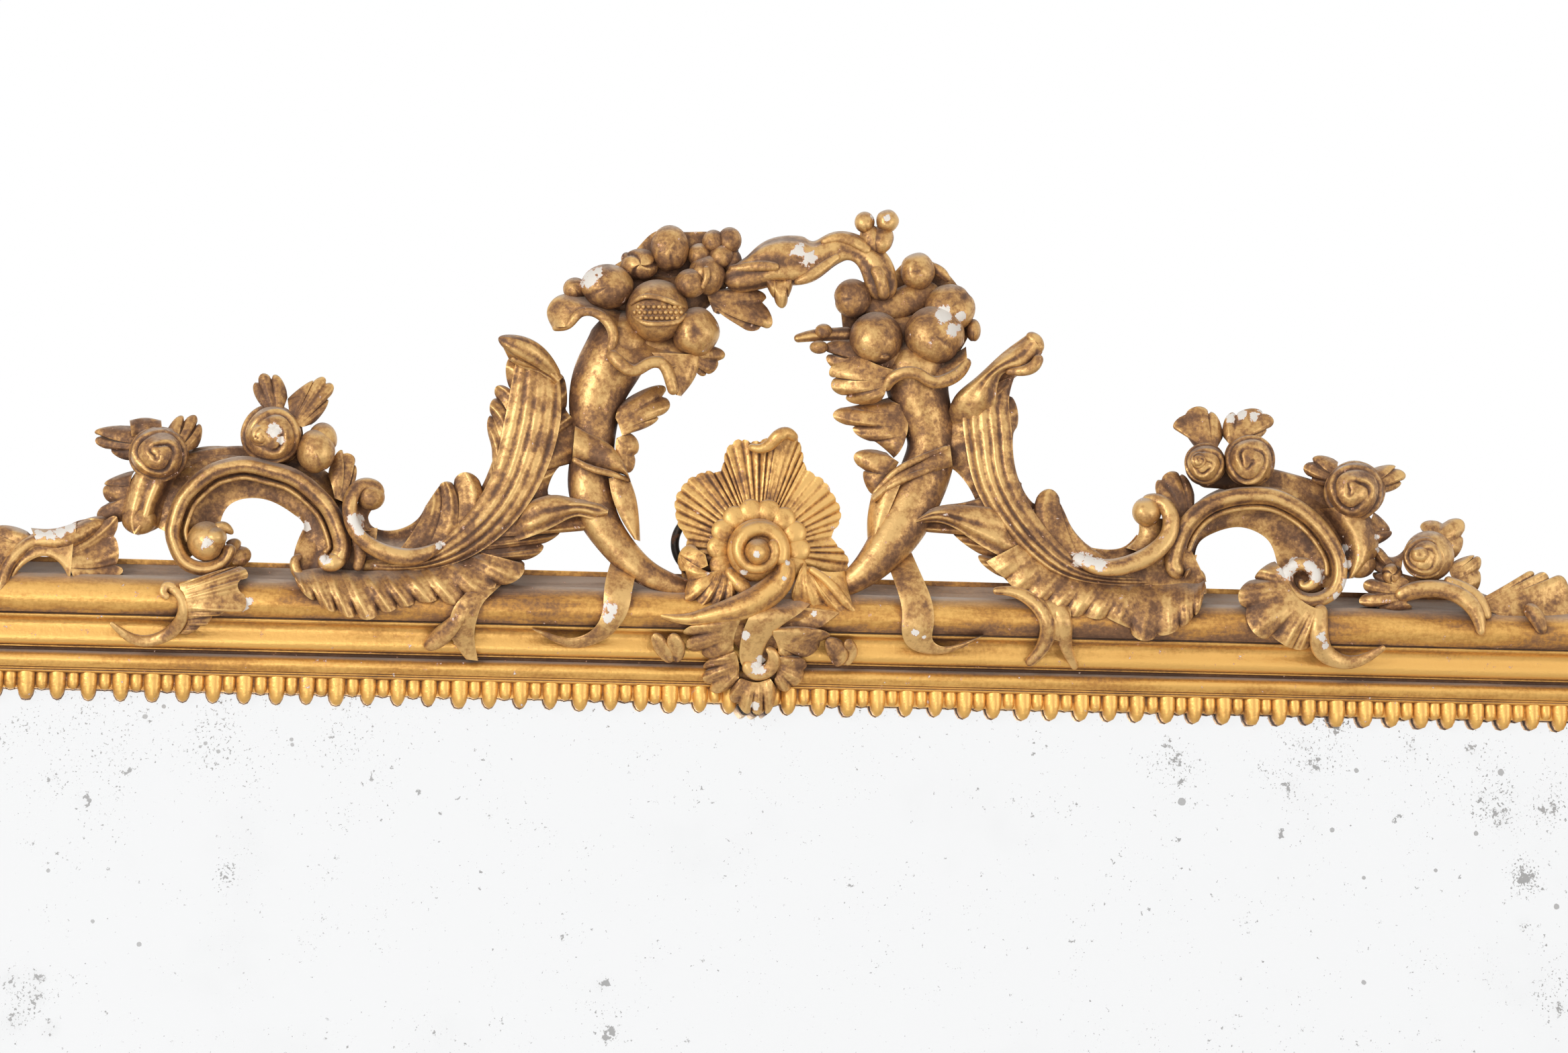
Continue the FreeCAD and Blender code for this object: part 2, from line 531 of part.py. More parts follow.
def build_carcass():
    """The pegged softwood frame, the boards in its back rebate and their nails."""
    holes = corner_pegs("peg_holes", "Sizes.peg_radius + Sizes.glue_gap")
    nail_holes = nail_rods("nail_holes", "Sizes.nail_radius + Sizes.glue_gap",
                           "Sizes.nail_head_radius + Sizes.glue_gap", "Sizes.glue_gap")
    finish(carcass_rail("bottom_rail", FRAME_BOTTOM,
                        f"{FRAME_BOTTOM} + Sizes.rail_width - Sizes.board_rebate", holes), "bottom_rail")
    top = carcass_rail("top_rail_bar", f"{FRAME_TOP} - Sizes.rail_width",
                       f"{FRAME_TOP} - Sizes.rail_width - Sizes.overrun", holes)
    finish(cut("top_rail", top, staple_legs("staple_holes", "Sizes.staple_wire_radius + Sizes.glue_gap")),
           "top_rail")
    left = carcass_stile("left_stile_bar", f"-{HALF_WIDTH}",
                         f"-{HALF_WIDTH} + Sizes.rail_width - Sizes.board_rebate", holes)
    right = carcass_stile("right_stile_bar", f"{HALF_WIDTH} - Sizes.rail_width",
                          f"{HALF_WIDTH} - Sizes.rail_width - Sizes.overrun", holes)
    finish(cut("left_stile", left, [nail_holes]), "left_stile")
    finish(cut("right_stile", right, [nail_holes]), "right_stile")
    finish(corner_pegs("corner_pegs", "Sizes.peg_radius"), "corner_pegs")
    for index in range(BACKBOARD_COUNT):
        board = box(f"board_{index}", BOARD_LENGTH, "Sizes.backboard_thickness",
                    f"{BOARD_PITCH} - Sizes.fit_gap", f"-{BOARD_LENGTH} / 2", "-Sizes.backboard_thickness",
                    f"{BOARDS_LOW} + {index} * {BOARD_PITCH}")
        finish(cut(f"backboard_{index + 1}", board, [nail_holes]), f"backboard_{index + 1}")
    nails = nail_rods("backboard_nails", "Sizes.nail_radius", "Sizes.nail_head_radius", "0")
    finish(nails, "backboard_nails")


def staple_legs(name, radius):
    """The two legs of the staple, one in front of the ring's wire and one behind."""
    reach = "(Sizes.ring_wire_radius + Sizes.ring_play + Sizes.staple_wire_radius)"
    members = []
    for step in (-1, 1):
        leg = rod(f"{name}_{step}", radius,
                  "Sizes.staple_depth + Sizes.ring_wire_radius + Sizes.ring_play", "-Sizes.ring_offset",
                  f"-Sizes.staple_front + {step} * {reach}", f"{FRAME_TOP} - Sizes.staple_depth",
                  along_y=False)
        members.append(leg)
    return members


def build_ring():
    """The iron staple, an arch across the top rail, and the ring that swings in it."""
    legs = staple_legs("staple_leg", "Sizes.staple_wire_radius")
    arch = doc.addObject("Part::Torus", "staple_arch")
    arch.Angle3 = 180
    turn = FreeCAD.Rotation(FreeCAD.Vector(0, 1, 0), FreeCAD.Vector(0, 0, 1), FreeCAD.Vector(1, 0, 0))
    arch.Placement.Rotation = turn
    bind(arch, Radius1="Sizes.ring_wire_radius + Sizes.ring_play + Sizes.staple_wire_radius",
         Radius2="Sizes.staple_wire_radius", Atx="-Sizes.ring_offset", Aty="-Sizes.staple_front",
         Atz=f"{FRAME_TOP} + Sizes.ring_wire_radius + Sizes.ring_play")
    staple = doc.addObject("Part::MultiFuse", "staple")
    staple.Shapes = legs + [arch]
    finish(staple, "ring_staple")

    ring = doc.addObject("Part::Torus", "ring")
    lean = size("ring_lean")
    ring.Placement.Rotation = FreeCAD.Rotation(FreeCAD.Vector(1, 0, 0), 90 + lean)
    bind(ring, Radius1="Sizes.ring_radius", Radius2="Sizes.ring_wire_radius", Atx="-Sizes.ring_offset",
         Aty="-Sizes.staple_front - Sizes.ring_radius * sin(Sizes.ring_lean * 1 deg)",
         Atz=f"{FRAME_TOP} + Sizes.ring_wire_radius + Sizes.ring_play"
             " + Sizes.ring_radius * cos(Sizes.ring_lean * 1 deg)")
    finish(ring, "hanging_ring")


def build_plate():
    """The silvered plate behind the sight edge and the glue blocks behind it."""
    cover = f"{sight_half_width} + Sizes.glass_cover"
    rise = f"{sight_half_height} + Sizes.glass_cover"
    plate = box("plate", f"2 * ({cover})", "Sizes.glass_thickness", f"2 * ({rise})", f"-({cover})",
                "-Sizes.glass_front", f"{frame_middle} - ({rise})")
    finish(plate, "mirror_plate")
    inner_width = f"({sight_half_width} + {sight_edge_width} - Sizes.glue_gap)"
    inner_height = f"({sight_half_height} + {sight_edge_width} - Sizes.glue_gap)"
    depth = "Sizes.glass_front - Sizes.glass_thickness - Sizes.backboard_thickness - Sizes.fit_gap"
    y = "-Sizes.glass_front + Sizes.glass_thickness"
    blocks = []
    for side in (-1, 1):
        for step in range(BLOCKS_PER_SIDE):
            share = (step + 1) / (BLOCKS_PER_SIDE + 1) * 2 - 1
            edge = f"{side} * ({inner_width} - Sizes.block_width / 2) - Sizes.block_width / 2"
            along = f"{frame_middle} + {share} * {inner_height} - Sizes.block_length / 2"
            blocks.append(box(f"side_block_{side}_{step}", "Sizes.block_width", depth, "Sizes.block_length",
                              edge, y, along))
            edge = (f"{frame_middle} + {side} * ({inner_height} - Sizes.block_width / 2)"
                    " - Sizes.block_width / 2")
            along = f"{share} * {inner_width} - Sizes.block_length / 2"
            blocks.append(box(f"end_block_{side}_{step}", "Sizes.block_length", depth, "Sizes.block_width",
                              along, y, edge))
    finish(group("plate_blocks", blocks), "plate_blocks")


def wire_of(start, steps):
    """Join lines (one point) and arcs (a middle point and an end) into a closed wire."""
    edges = []
    here = start
    for step in steps + [(start,)]:
        if len(step) == 1 and (step[0] - here).Length:
            edges.append(Part.LineSegment(here, step[0]).toShape())
        elif len(step) == 2:
            edges.append(Part.Arc(here, step[0], step[1]).toShape())
        here = step[-1]
    return Part.Wire(edges)


def at(rise, proud):
    """A point of the moulding's section: rise from the tongue tips outward, proud of the plate."""
    return FreeCAD.Vector(0, -glass_front - proud, rise)


def moulding_steps():
    """The moulding's face from the sight edge outward: band, groove, ogee, bead, torus and cove."""
    rise = sight_edge_width
    bead_proud = size("double_bead_proud")
    band = size("band_width")
    steps = [(at(rise + band / 2, size("band_proud")), at(rise + band, bead_proud))]
    rise += band + size("groove_width")
    steps.append((at(rise, size("groove_proud")),))
    steps.append((at(rise, size("fillet_proud")),))
    rise += size("fillet_width")
    steps.append((at(rise, size("fillet_proud")),))
    low, high = size("fillet_proud"), size("ogee_proud")
    bend = OGEE_BEND_SHARE * size("ogee_width")
    for start_share, sign in ((0, 1), (1 / 2, -1)):
        middle = start_share + 1 / 4
        end = start_share + 1 / 2
        steps.append((
            at(rise + middle * size("ogee_width") - sign * bend, low + middle * (high - low) + sign * bend),
            at(rise + end * size("ogee_width"), low + end * (high - low)),
        ))
    rise += size("ogee_width")
    steps.append((at(rise + size("bead_width") / 2, size("bead_proud")), at(rise + size("bead_width"), high)))
    axis = size("torus_axis_proud")
    start = axis + size("torus_radius") * math.sqrt(1 - TORUS_START_SHARE ** 2)
    steps.append((at(torus_start, start),))
    top = torus_centre + size("torus_radius")
    steps.append((at(torus_centre, axis + size("torus_radius")), at(top, axis)))
    middle = at(top + size("cove_width") / 2, axis / 2)
    sag = size("cove_sag")
    steps.append((middle + FreeCAD.Vector(0, sag, -sag), at(moulding_width, 0)))
    return steps


def side_solid(wire, half_length):
    """Run a section along the top rail's direction."""
    face = Part.Face(wire)
    face.translate(FreeCAD.Vector(-half_length, 0, 0))
    return face.extrude(FreeCAD.Vector(2 * half_length, 0, 0))


def mitred(solid, half_length):
    """Cut both ends of a length of moulding at 45 degrees, meeting its neighbours at the glue line."""
    half = half_length - size("glue_gap")
    reach = glass_front + size("carcass_depth") + size("torus_axis_proud") + size("torus_radius")
    corners = [
        FreeCAD.Vector(-half, 0, 0),
        FreeCAD.Vector(half, 0, 0),
        FreeCAD.Vector(half + face_width, 0, face_width),
        FreeCAD.Vector(-half - face_width, 0, face_width),
    ]
    wedge = Part.Face(Part.makePolygon(corners + corners[:1])).extrude(FreeCAD.Vector(0, -reach, 0))
    return solid.common(wedge)


def place_side(shape, side):
    """Turn a length made along the top to one side of the frame."""
    turns = {"top": (0, sight_half_height), "left": (-90, sight_half_width),
             "bottom": (180, sight_half_height), "right": (90, sight_half_width)}
    angle, out = turns[side]
    moved = shape.copy()
    moved.translate(FreeCAD.Vector(0, 0, out))
    moved.rotate(FreeCAD.Vector(), FreeCAD.Vector(0, 1, 0), angle)
    moved.translate(FreeCAD.Vector(0, 0, frame_middle))
    return moved


def half_length_of(side):
    """Half the sight length of one side."""
    return sight_half_width if side in ("top", "bottom") else sight_half_height


def moulding_section():
    """Section of the applied moulding, from its inner edge to the outer cove, on the carcass's face."""
    seat = size("carcass_depth") - glass_front
    start = at(sight_edge_width, size("double_bead_proud"))
    return wire_of(start, moulding_steps() + [(at(moulding_width, seat),), (at(sight_edge_width, seat),)])


def tongue_comb(half_length):
    """Outline of the sight edge: a strip with rounded tongues hanging from it."""
    pitch, width = size("tongue_pitch"), size("tongue_width")
    root, radius = size("tongue_length"), size("tongue_width") / 2
    count = int(2 * half_length / pitch)
    end = half_length + face_width
    back = -glass_front - size("glue_gap")

    def spot(x, rise):
        return FreeCAD.Vector(x, back, rise)

    steps = [(spot(-end, root),)]
    for index in range(count):
        left = (index - (count - 1) / 2) * pitch - width / 2
        steps += [
            (spot(left, root),),
            (spot(left, radius),),
            (spot(left + radius, 0), spot(left + width, radius)),
            (spot(left + width, root),),
        ]
    steps += [(spot(end, root),), (spot(end, sight_edge_width),)]
    return wire_of(spot(-end, sight_edge_width), steps)


def build_mouldings():
    """Four mitred mouldings and, inside them, four mitred rows of tongues."""
    for side in ("top", "bottom", "left", "right"):
        half = half_length_of(side)
        length = side_solid(moulding_section(), half + face_width)
        shape = place_side(mitred(length, half), side)
        if side == "top":
            shape = shape.cut(dowels(size("glue_gap")))
        feature(f"moulding_{side}", shape)
        forward = FreeCAD.Vector(0, -size("tongue_proud"), 0)
        comb = Part.Face(tongue_comb(half)).extrude(forward)
        feature(f"sight_edge_{side}", place_side(mitred(comb, half), side))


def rail_front(shift, lift=0):
    """The whole top of the frame as one bar, moved forward and up: what carvings are scribed to."""
    low = -size("overrun")
    steps = [(at(low, size("tongue_proud")),), (at(size("tongue_length"), size("tongue_proud")),),
             (at(sight_edge_width, size("double_bead_proud")),)]
    steps += moulding_steps()
    seat = size("carcass_depth") - glass_front
    steps += [(at(moulding_width, seat),), (at(face_width, seat),), (at(face_width, -glass_front),)]
    bar = side_solid(wire_of(at(low, -glass_front), steps), sight_half_width + face_width)
    bar.translate(FreeCAD.Vector(0, -shift, sight_half_height + frame_middle + lift))
    return bar


rail_scribe = rail_front(size("glue_gap"))

# Viewpoint of the traced outlines
yaw = math.radians(VIEW_YAW_DEGREES)
pitch = math.radians(VIEW_PITCH_DEGREES)
ahead = FreeCAD.Vector(math.sin(yaw) * math.cos(pitch), math.cos(yaw) * math.cos(pitch), math.sin(pitch))
rightward = FreeCAD.Vector(math.cos(yaw), -math.sin(yaw), 0)
upward = rightward.cross(ahead)


def sight_line(u, v):
    """Direction in which a pixel is seen, one unit deep."""
    across = (u - IMAGE_CENTRE_PIXEL[0]) / FOCAL_PIXELS
    down = (v - IMAGE_CENTRE_PIXEL[1]) / FOCAL_PIXELS
    return ahead + rightward * across - upward * down


rail_centre = FreeCAD.Vector(0, -size("carcass_depth"), frame_top)
viewpoint = rail_centre - sight_line(*RAIL_CENTRE_PIXEL) * size("view_distance")
pixel = size("view_distance") / FOCAL_PIXELS


def traced(u, v, front):
    """Place of a pixel on the plane that lies a distance forward of the wall."""
    line = sight_line(u, v)
    return viewpoint + line * ((-front - viewpoint.y) / line.y)


def board(outline, back, front):
    """A carving sawn to an outline from a plank between two fronts; grown for its neighbours' seats."""
    def make(growth):
        middle = (back + front) / 2
        spots = [traced(u, v, middle) for u, v in outline]
        count = len(spots)
        area = sum(spots[i - 1].x * spots[i].z - spots[i].x * spots[i - 1].z for i in range(count))
        turn = growth if area > 0 else -growth
        grown = []
        for index, spot in enumerate(spots):
            along = spots[(index + 1) % count] - spots[index - 1]
            normal = FreeCAD.Vector(along.z, 0, -along.x).normalize()
            grown.append(FreeCAD.Vector(spot.x + normal.x * turn, -back + growth, spot.z + normal.z * turn))
        curve = Part.BSplineCurve()
        curve.interpolate(Points=grown, PeriodicFlag=True)
        face = Part.Face(Part.Wire(curve.toShape()))
        return face.extrude(FreeCAD.Vector(0, -(front - back) - 2 * growth, 0))
    return make


def tube(spine, radii, front, depth_share=1):
    """A swelling roll along a spine, oval in section; radii in pixels across the view."""
    def make(growth):
        spots = [traced(u, v, front) for u, v in spine]
        wires = []
        for index, spot in enumerate(spots):
            along = spots[min(index + 1, len(spots) - 1)] - spots[max(index - 1, 0)]
            side = FreeCAD.Vector(along.z, 0, -along.x).normalize()
            across = radii[index] * pixel + growth
            deep = radii[index] * pixel * depth_share + growth
            ring = []
            for step in range(SECTION_POINTS):
                angle = 2 * math.pi * step / SECTION_POINTS
                ring.append(spot + side * across * math.cos(angle)
                            + FreeCAD.Vector(0, -1, 0) * deep * math.sin(angle))
            curve = Part.BSplineCurve()
            curve.interpolate(Points=ring, PeriodicFlag=True)
            wires.append(Part.Wire(curve.toShape()))
        return Part.makeLoft(wires, True, False)
    return make


def ball(centre, radius_pixels, front, depth_share=1):
    """A round fruit, bud or knob, flattened front to back by a share."""
    def make(growth):
        radius = radius_pixels * pixel + growth
        shape = Part.makeSphere(radius)
        if depth_share != 1:
            flat = FreeCAD.Matrix()
            flat.scale(FreeCAD.Vector(1, depth_share, 1))
            shape = shape.transformGeometry(flat)
        shape.translate(traced(*centre, front))
        return shape
    return make


def disc(centre, radius_pixels, back, front):
    """A round boss standing forward."""
    def make(growth):
        spot = traced(*centre, (back + front) / 2)
        return Part.makeCylinder(radius_pixels * pixel + growth, front - back + 2 * growth,
                                 FreeCAD.Vector(spot.x, -back + growth, spot.z), FreeCAD.Vector(0, -1, 0))
    return make


def draped(outline, thickness):
    """A carving that follows the face of the top moulding at an even thickness."""
    def make(growth):
        reach = glass_front + size("torus_axis_proud") + size("torus_radius") + thickness
        layer = rail_front(thickness + growth).fuse(rail_front(thickness + growth, thickness + growth))
        return board(outline, 0, reach)(growth).common(layer)
    return make


def dowels(growth):
    """Upright dowels that pin the crest into the top moulding."""
    rods = []
    low = frame_top - size("dowel_length") + size("dowel_rise")
    for column in DOWEL_COLUMNS_PIXELS:
        spot = traced(column, RAIL_CENTRE_PIXEL[1], size("dowel_front"))
        rods.append(Part.makeCylinder(size("dowel_radius") + growth, size("dowel_length") + 2 * growth,
                                      FreeCAD.Vector(spot.x, spot.y, low - growth)))
    return rods


carved_forms = {}
grown_shapes = {}


def seats_for(label):
    """A carving's forms, grown by the glue line: what its neighbours are cut back from."""
    if label not in grown_shapes:
        grown_shapes[label] = [form(size("glue_gap")) for form in carved_forms[label]]
    return grown_shapes[label]


def cut_back(piece, tools):
    """Cut a piece back from the tools that reach it and keep its largest part."""
    near = [tool for tool in tools if tool.BoundBox.intersect(piece.BoundBox)]
    solids = piece.cut(near).Solids if near else piece.Solids
    return max(solids, key=lambda solid: solid.Volume)


def carve(label, shapes, seats=(), joined=True, pinned=False):
    """Make one carving: join its forms, or part them, then scribe it to the rail and its neighbours."""
    carved_forms[label] = shapes
    pieces = [form(0) for form in shapes]
    tools = [rail_scribe] + [shape for seat in seats for shape in seats_for(seat)]
    if pinned:
        tools += dowels(size("glue_gap"))
    if joined:
        whole = pieces[0].fuse(pieces[1:]) if pieces[1:] else pieces[0]
        return feature(label, cut_back(whole, tools))
    kept = [cut_back(piece, tools + seats_for(label)[:index]) for index, piece in enumerate(pieces)]
    return feature(label, Part.makeCompound(kept))


def build_scrolls():
    """C-scrolls with their front ribs and the small S-scrolls that spring from the acanthus."""
    back = size("crest_back")
    for side, outline, rib in (("left", C_SCROLL_LEFT_OUTLINE, C_SCROLL_LEFT_RIB),
                               ("right", C_SCROLL_RIGHT_OUTLINE, C_SCROLL_RIGHT_RIB)):
        last = len(rib) - 1
        radii = [RIB_RADIUS_PIXELS + (RIB_END_RADIUS_PIXELS - RIB_RADIUS_PIXELS) * (i / last) ** 2
                 for i in range(len(rib))]
        carve(f"c_scroll_{side}", [
            board(outline, back, size("scroll_front")),
            tube(rib, radii, size("rib_axis_front"), RIB_DEPTH_SHARE),
        ], pinned=True)


def build_horns():
    """Horns of plenty with turned rims, their wraps and side leaves."""
    rim = size("horn_rim_back"), size("horn_rim_front")
    wrap = size("wrap_back"), size("wrap_front")
    leaf = size("side_leaf_back"), size("side_leaf_front")
    axis = size("horn_axis_front")
    for side, spine, radii, lip, band, leaves in (
            ("left", HORN_LEFT_SPINE, HORN_LEFT_RADII_PIXELS, HORN_LEFT_RIM, HORN_LEFT_WRAP,
             HORN_LEFT_LEAVES),
            ("right", HORN_RIGHT_SPINE, HORN_RIGHT_RADII_PIXELS, HORN_RIGHT_RIM, HORN_RIGHT_WRAP,
             HORN_RIGHT_LEAVES)):
        horn = f"horn_{side}"
        carve(horn, [tube(spine, radii, axis, HORN_DEPTH_SHARE), board(lip, *rim)], pinned=True)
        carve(f"horn_wrap_{side}", [board(band, *wrap)], [horn])
        carve(f"horn_leaves_{side}", [board(points, *leaf) for points in leaves],
              [horn, f"horn_wrap_{side}"], joined=False)


def build_fruit():
    """The heaped fruit of both horns, their leaves, and the twig that joins the heaps."""
    fronts = {False: size("fruit_axis_front"), True: size("back_fruit_axis_front")}
    leaf = size("side_leaf_back"), size("side_leaf_front")
    for side, fruit, leaves in (("left", LEFT_FRUIT, LEFT_FRUIT_LEAVES),
                                ("right", RIGHT_FRUIT, RIGHT_FRUIT_LEAVES)):
        carve(f"fruit_{side}", [ball(centre, radius, fronts[back]) for centre, radius, back in fruit],
              [f"horn_{side}"], joined=False)
        carve(f"fruit_leaves_{side}", [board(points, *leaf) for points in leaves],
              [f"fruit_{side}", f"horn_{side}", f"horn_leaves_{side}"], joined=False)
    axis = size("twig_axis_front")
    carve("garland_twig", [
        tube(TWIG_SPINE, TWIG_RADII_PIXELS, axis),
        tube(TWIG_STUB_SPINE, TWIG_STUB_RADII_PIXELS, axis),
    ], ["fruit_left", "fruit_right", "fruit_leaves_left"])
    carve("garland_berries", [ball(centre, radius, axis) for centre, radius in TWIG_BERRIES],
          ["garland_twig"], joined=False)


def build_acanthus():
    """Acanthus leaves between horns and scrolls, with their S-scrolls and the tails over the rail."""
    back = size("crest_back")
    lobe = size("lobe_back"), size("lobe_front")
    for side, outline, lobes, tail, spine, knob in (
            ("left", ACANTHUS_LEFT_OUTLINE, ACANTHUS_LEFT_LOBES, ACANTHUS_TAIL_LEFT_OUTLINE,
             S_SCROLL_LEFT_SPINE, S_SCROLL_LEFT_KNOB),
            ("right", ACANTHUS_RIGHT_OUTLINE, ACANTHUS_RIGHT_LOBES, ACANTHUS_TAIL_RIGHT_OUTLINE,
             S_SCROLL_RIGHT_SPINE, S_SCROLL_RIGHT_KNOB)):
        leaf = f"acanthus_{side}"
        carve(leaf, [board(outline, back, size("leaf_front")), board(lobes, *lobe)],
              [f"c_scroll_{side}", f"horn_{side}", f"horn_wrap_{side}"], pinned=True)
        axis = size("rib_axis_front")
        radii = [S_SCROLL_RADIUS_PIXELS] * len(spine)
        carve(f"s_scroll_{side}", [
            tube(spine, radii, axis, RIB_DEPTH_SHARE),
            ball(knob, S_SCROLL_KNOB_PIXELS, axis),
        ], [leaf, f"c_scroll_{side}"])
        carve(f"acanthus_tail_{side}", [draped(tail, size("ribbon_thickness"))], [leaf])


def build_shell():
    """The central shell with its boss and trailing tail, the leaves beside it and the pendant below."""
    back = size("crest_back")
    boss = size("shell_front"), size("boss_front")
    carve("shell", [
        board(SHELL_FAN_OUTLINE, back, size("shell_front")),
        disc(SHELL_BOSS_CENTRE, SHELL_BOSS_RADIUS_PIXELS, *boss),
        ball(SHELL_BOSS_CENTRE, SHELL_BALL_RADIUS_PIXELS, size("boss_ball_front")),
        tube(SHELL_TAIL_SPINE, SHELL_TAIL_RADII_PIXELS, size("boss_tail_axis_front")),
    ], ["horn_left", "horn_right"], pinned=True)
    lobe = size("lobe_back"), size("lobe_front")
    carve("shell_leaves", [board(points, *lobe) for points in (SHELL_LEAF_LEFT, SHELL_LEAF_RIGHT)],
          ["shell", "horn_left", "horn_right"], joined=False)
    carve("shell_pendant", [draped(SHELL_PENDANT_OUTLINE, size("pendant_thickness"))],
          ["shell", "shell_leaves"])


def build_rail_ornaments():
    """Leaf falls under the C-scrolls and the ribbons under the horns, over the face of the rail."""
    lobe = size("lobe_back"), size("lobe_front")
    for side, fall, ribbon in (("left", LEAF_FALL_LEFT_OUTLINE, RIBBON_LEFT_OUTLINE),
                               ("right", LEAF_FALL_RIGHT_OUTLINE, RIBBON_RIGHT_OUTLINE)):
        carve(f"leaf_fall_{side}", [board(fall, *lobe)], [f"c_scroll_{side}"])
        carve(f"rail_ribbon_{side}", [draped(ribbon, size("ribbon_thickness"))],
              [f"horn_{side}", f"acanthus_{side}", f"acanthus_tail_{side}"])


def build_roses():
    """Roses on the C-scrolls, their leaves, and the trailing sprigs at the outer ends."""
    back = size("crest_back")
    axis = size("rose_axis_front")
    leaf = size("side_leaf_back"), size("side_leaf_front")
    for side, roses, leaves in (("left", ROSES_LEFT, ROSE_LEAVES_LEFT),
                                ("right", ROSES_RIGHT, ROSE_LEAVES_RIGHT)):
        carve(f"roses_{side}", [ball(centre, radius, axis, ROSE_DEPTH_SHARE) for centre, radius in roses],
              [f"c_scroll_{side}"], joined=False)
        carve(f"rose_leaves_{side}", [board(points, *leaf) for points in leaves],
              [f"c_scroll_{side}", f"roses_{side}", f"s_scroll_{side}"], joined=False)
    carve("sprig_left", [board(SPRIG_LEFT_OUTLINE, back, size("sprig_front"))],
          ["c_scroll_left", "rose_leaves_left", "leaf_fall_left"], pinned=True)
    carve("sprig_right", [
        board(SPRIG_RIGHT_OUTLINE, back, size("sprig_front")),
        ball(*SPRIG_RIGHT_ROSE, size("sprig_front"), ROSE_DEPTH_SHARE),
    ], ["c_scroll_right", "rose_leaves_right", "leaf_fall_right"], pinned=True)
    feature("crest_dowels", Part.makeCompound(dowels(0)))


build_carcass()
build_ring()
build_plate()
build_mouldings()
build_scrolls()
build_horns()
build_fruit()
build_acanthus()
build_shell()
build_rail_ornaments()
build_roses()
doc.recompute()

for item in doc.Objects:
    if {"Invalid", "Error"} & set(item.State):
        raise RuntimeError(f"{item.Label} failed to recompute")
for item in finished:
    if item.Shape.isNull() or not item.Shape.isValid() or not item.Shape.Solids:
        raise RuntimeError(f"{item.Label} has no valid shape")

os.makedirs("parts", exist_ok=True)
for item in finished:
    item.Shape.exportStep(os.path.join("parts", f"{item.Label}.step"))
    print(f"{item.Label}: {len(item.Shape.Solids)} solids, {item.Shape.Volume / 1000:.1f} cm3")
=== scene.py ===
"""Blender scene of a carved giltwood mirror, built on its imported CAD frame.

The carvings are laid out in photo space. A place there is a pixel (u to the right, v down) of the picture
and a front, the distance in millimetres that it stands forward of the wall. View turns it into metres.
"""
import logging
import math
from dataclasses import dataclass, replace
from enum import Enum
from typing import Iterable, Sequence, Union

import bmesh
import bpy
import numpy as np
from mathutils import Matrix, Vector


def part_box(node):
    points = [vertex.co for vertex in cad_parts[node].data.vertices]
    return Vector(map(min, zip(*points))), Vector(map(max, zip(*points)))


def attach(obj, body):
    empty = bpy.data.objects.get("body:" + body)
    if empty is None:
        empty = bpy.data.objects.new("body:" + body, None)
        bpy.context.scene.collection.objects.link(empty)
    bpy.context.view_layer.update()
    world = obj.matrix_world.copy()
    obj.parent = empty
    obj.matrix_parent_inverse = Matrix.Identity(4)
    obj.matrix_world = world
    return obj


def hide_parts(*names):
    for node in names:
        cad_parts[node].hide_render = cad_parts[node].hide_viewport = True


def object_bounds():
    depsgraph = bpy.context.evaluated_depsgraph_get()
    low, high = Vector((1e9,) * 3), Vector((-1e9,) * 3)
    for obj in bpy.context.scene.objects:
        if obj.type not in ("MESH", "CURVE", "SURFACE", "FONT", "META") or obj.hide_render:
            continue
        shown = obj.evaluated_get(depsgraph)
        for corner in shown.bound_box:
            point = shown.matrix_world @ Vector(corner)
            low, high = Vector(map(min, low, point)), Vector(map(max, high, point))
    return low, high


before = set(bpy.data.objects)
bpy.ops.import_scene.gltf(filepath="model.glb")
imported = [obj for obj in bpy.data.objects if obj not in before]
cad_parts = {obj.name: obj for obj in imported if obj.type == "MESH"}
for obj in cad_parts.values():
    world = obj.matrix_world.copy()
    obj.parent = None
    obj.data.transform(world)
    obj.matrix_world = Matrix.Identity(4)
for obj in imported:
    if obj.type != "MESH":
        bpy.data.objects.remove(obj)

CAD_BOX = [list(corner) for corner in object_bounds()]
LOG = logging.getLogger("giltwood_mirror")
MM = 0.001
BODY = "frame"
CHIP_RIM = 1.25
Array = np.ndarray
Rows = Sequence[Sequence[float]]
Fronts = float | tuple[float, float]
Socket = bpy.types.NodeSocket
Material = bpy.types.Material


class Slot(Enum):
    """Names of the material slots."""

    GILDING = "gilding"
    SOFTWOOD = "softwood"
    IRON = "iron"
    GLASS = "silvered_glass"


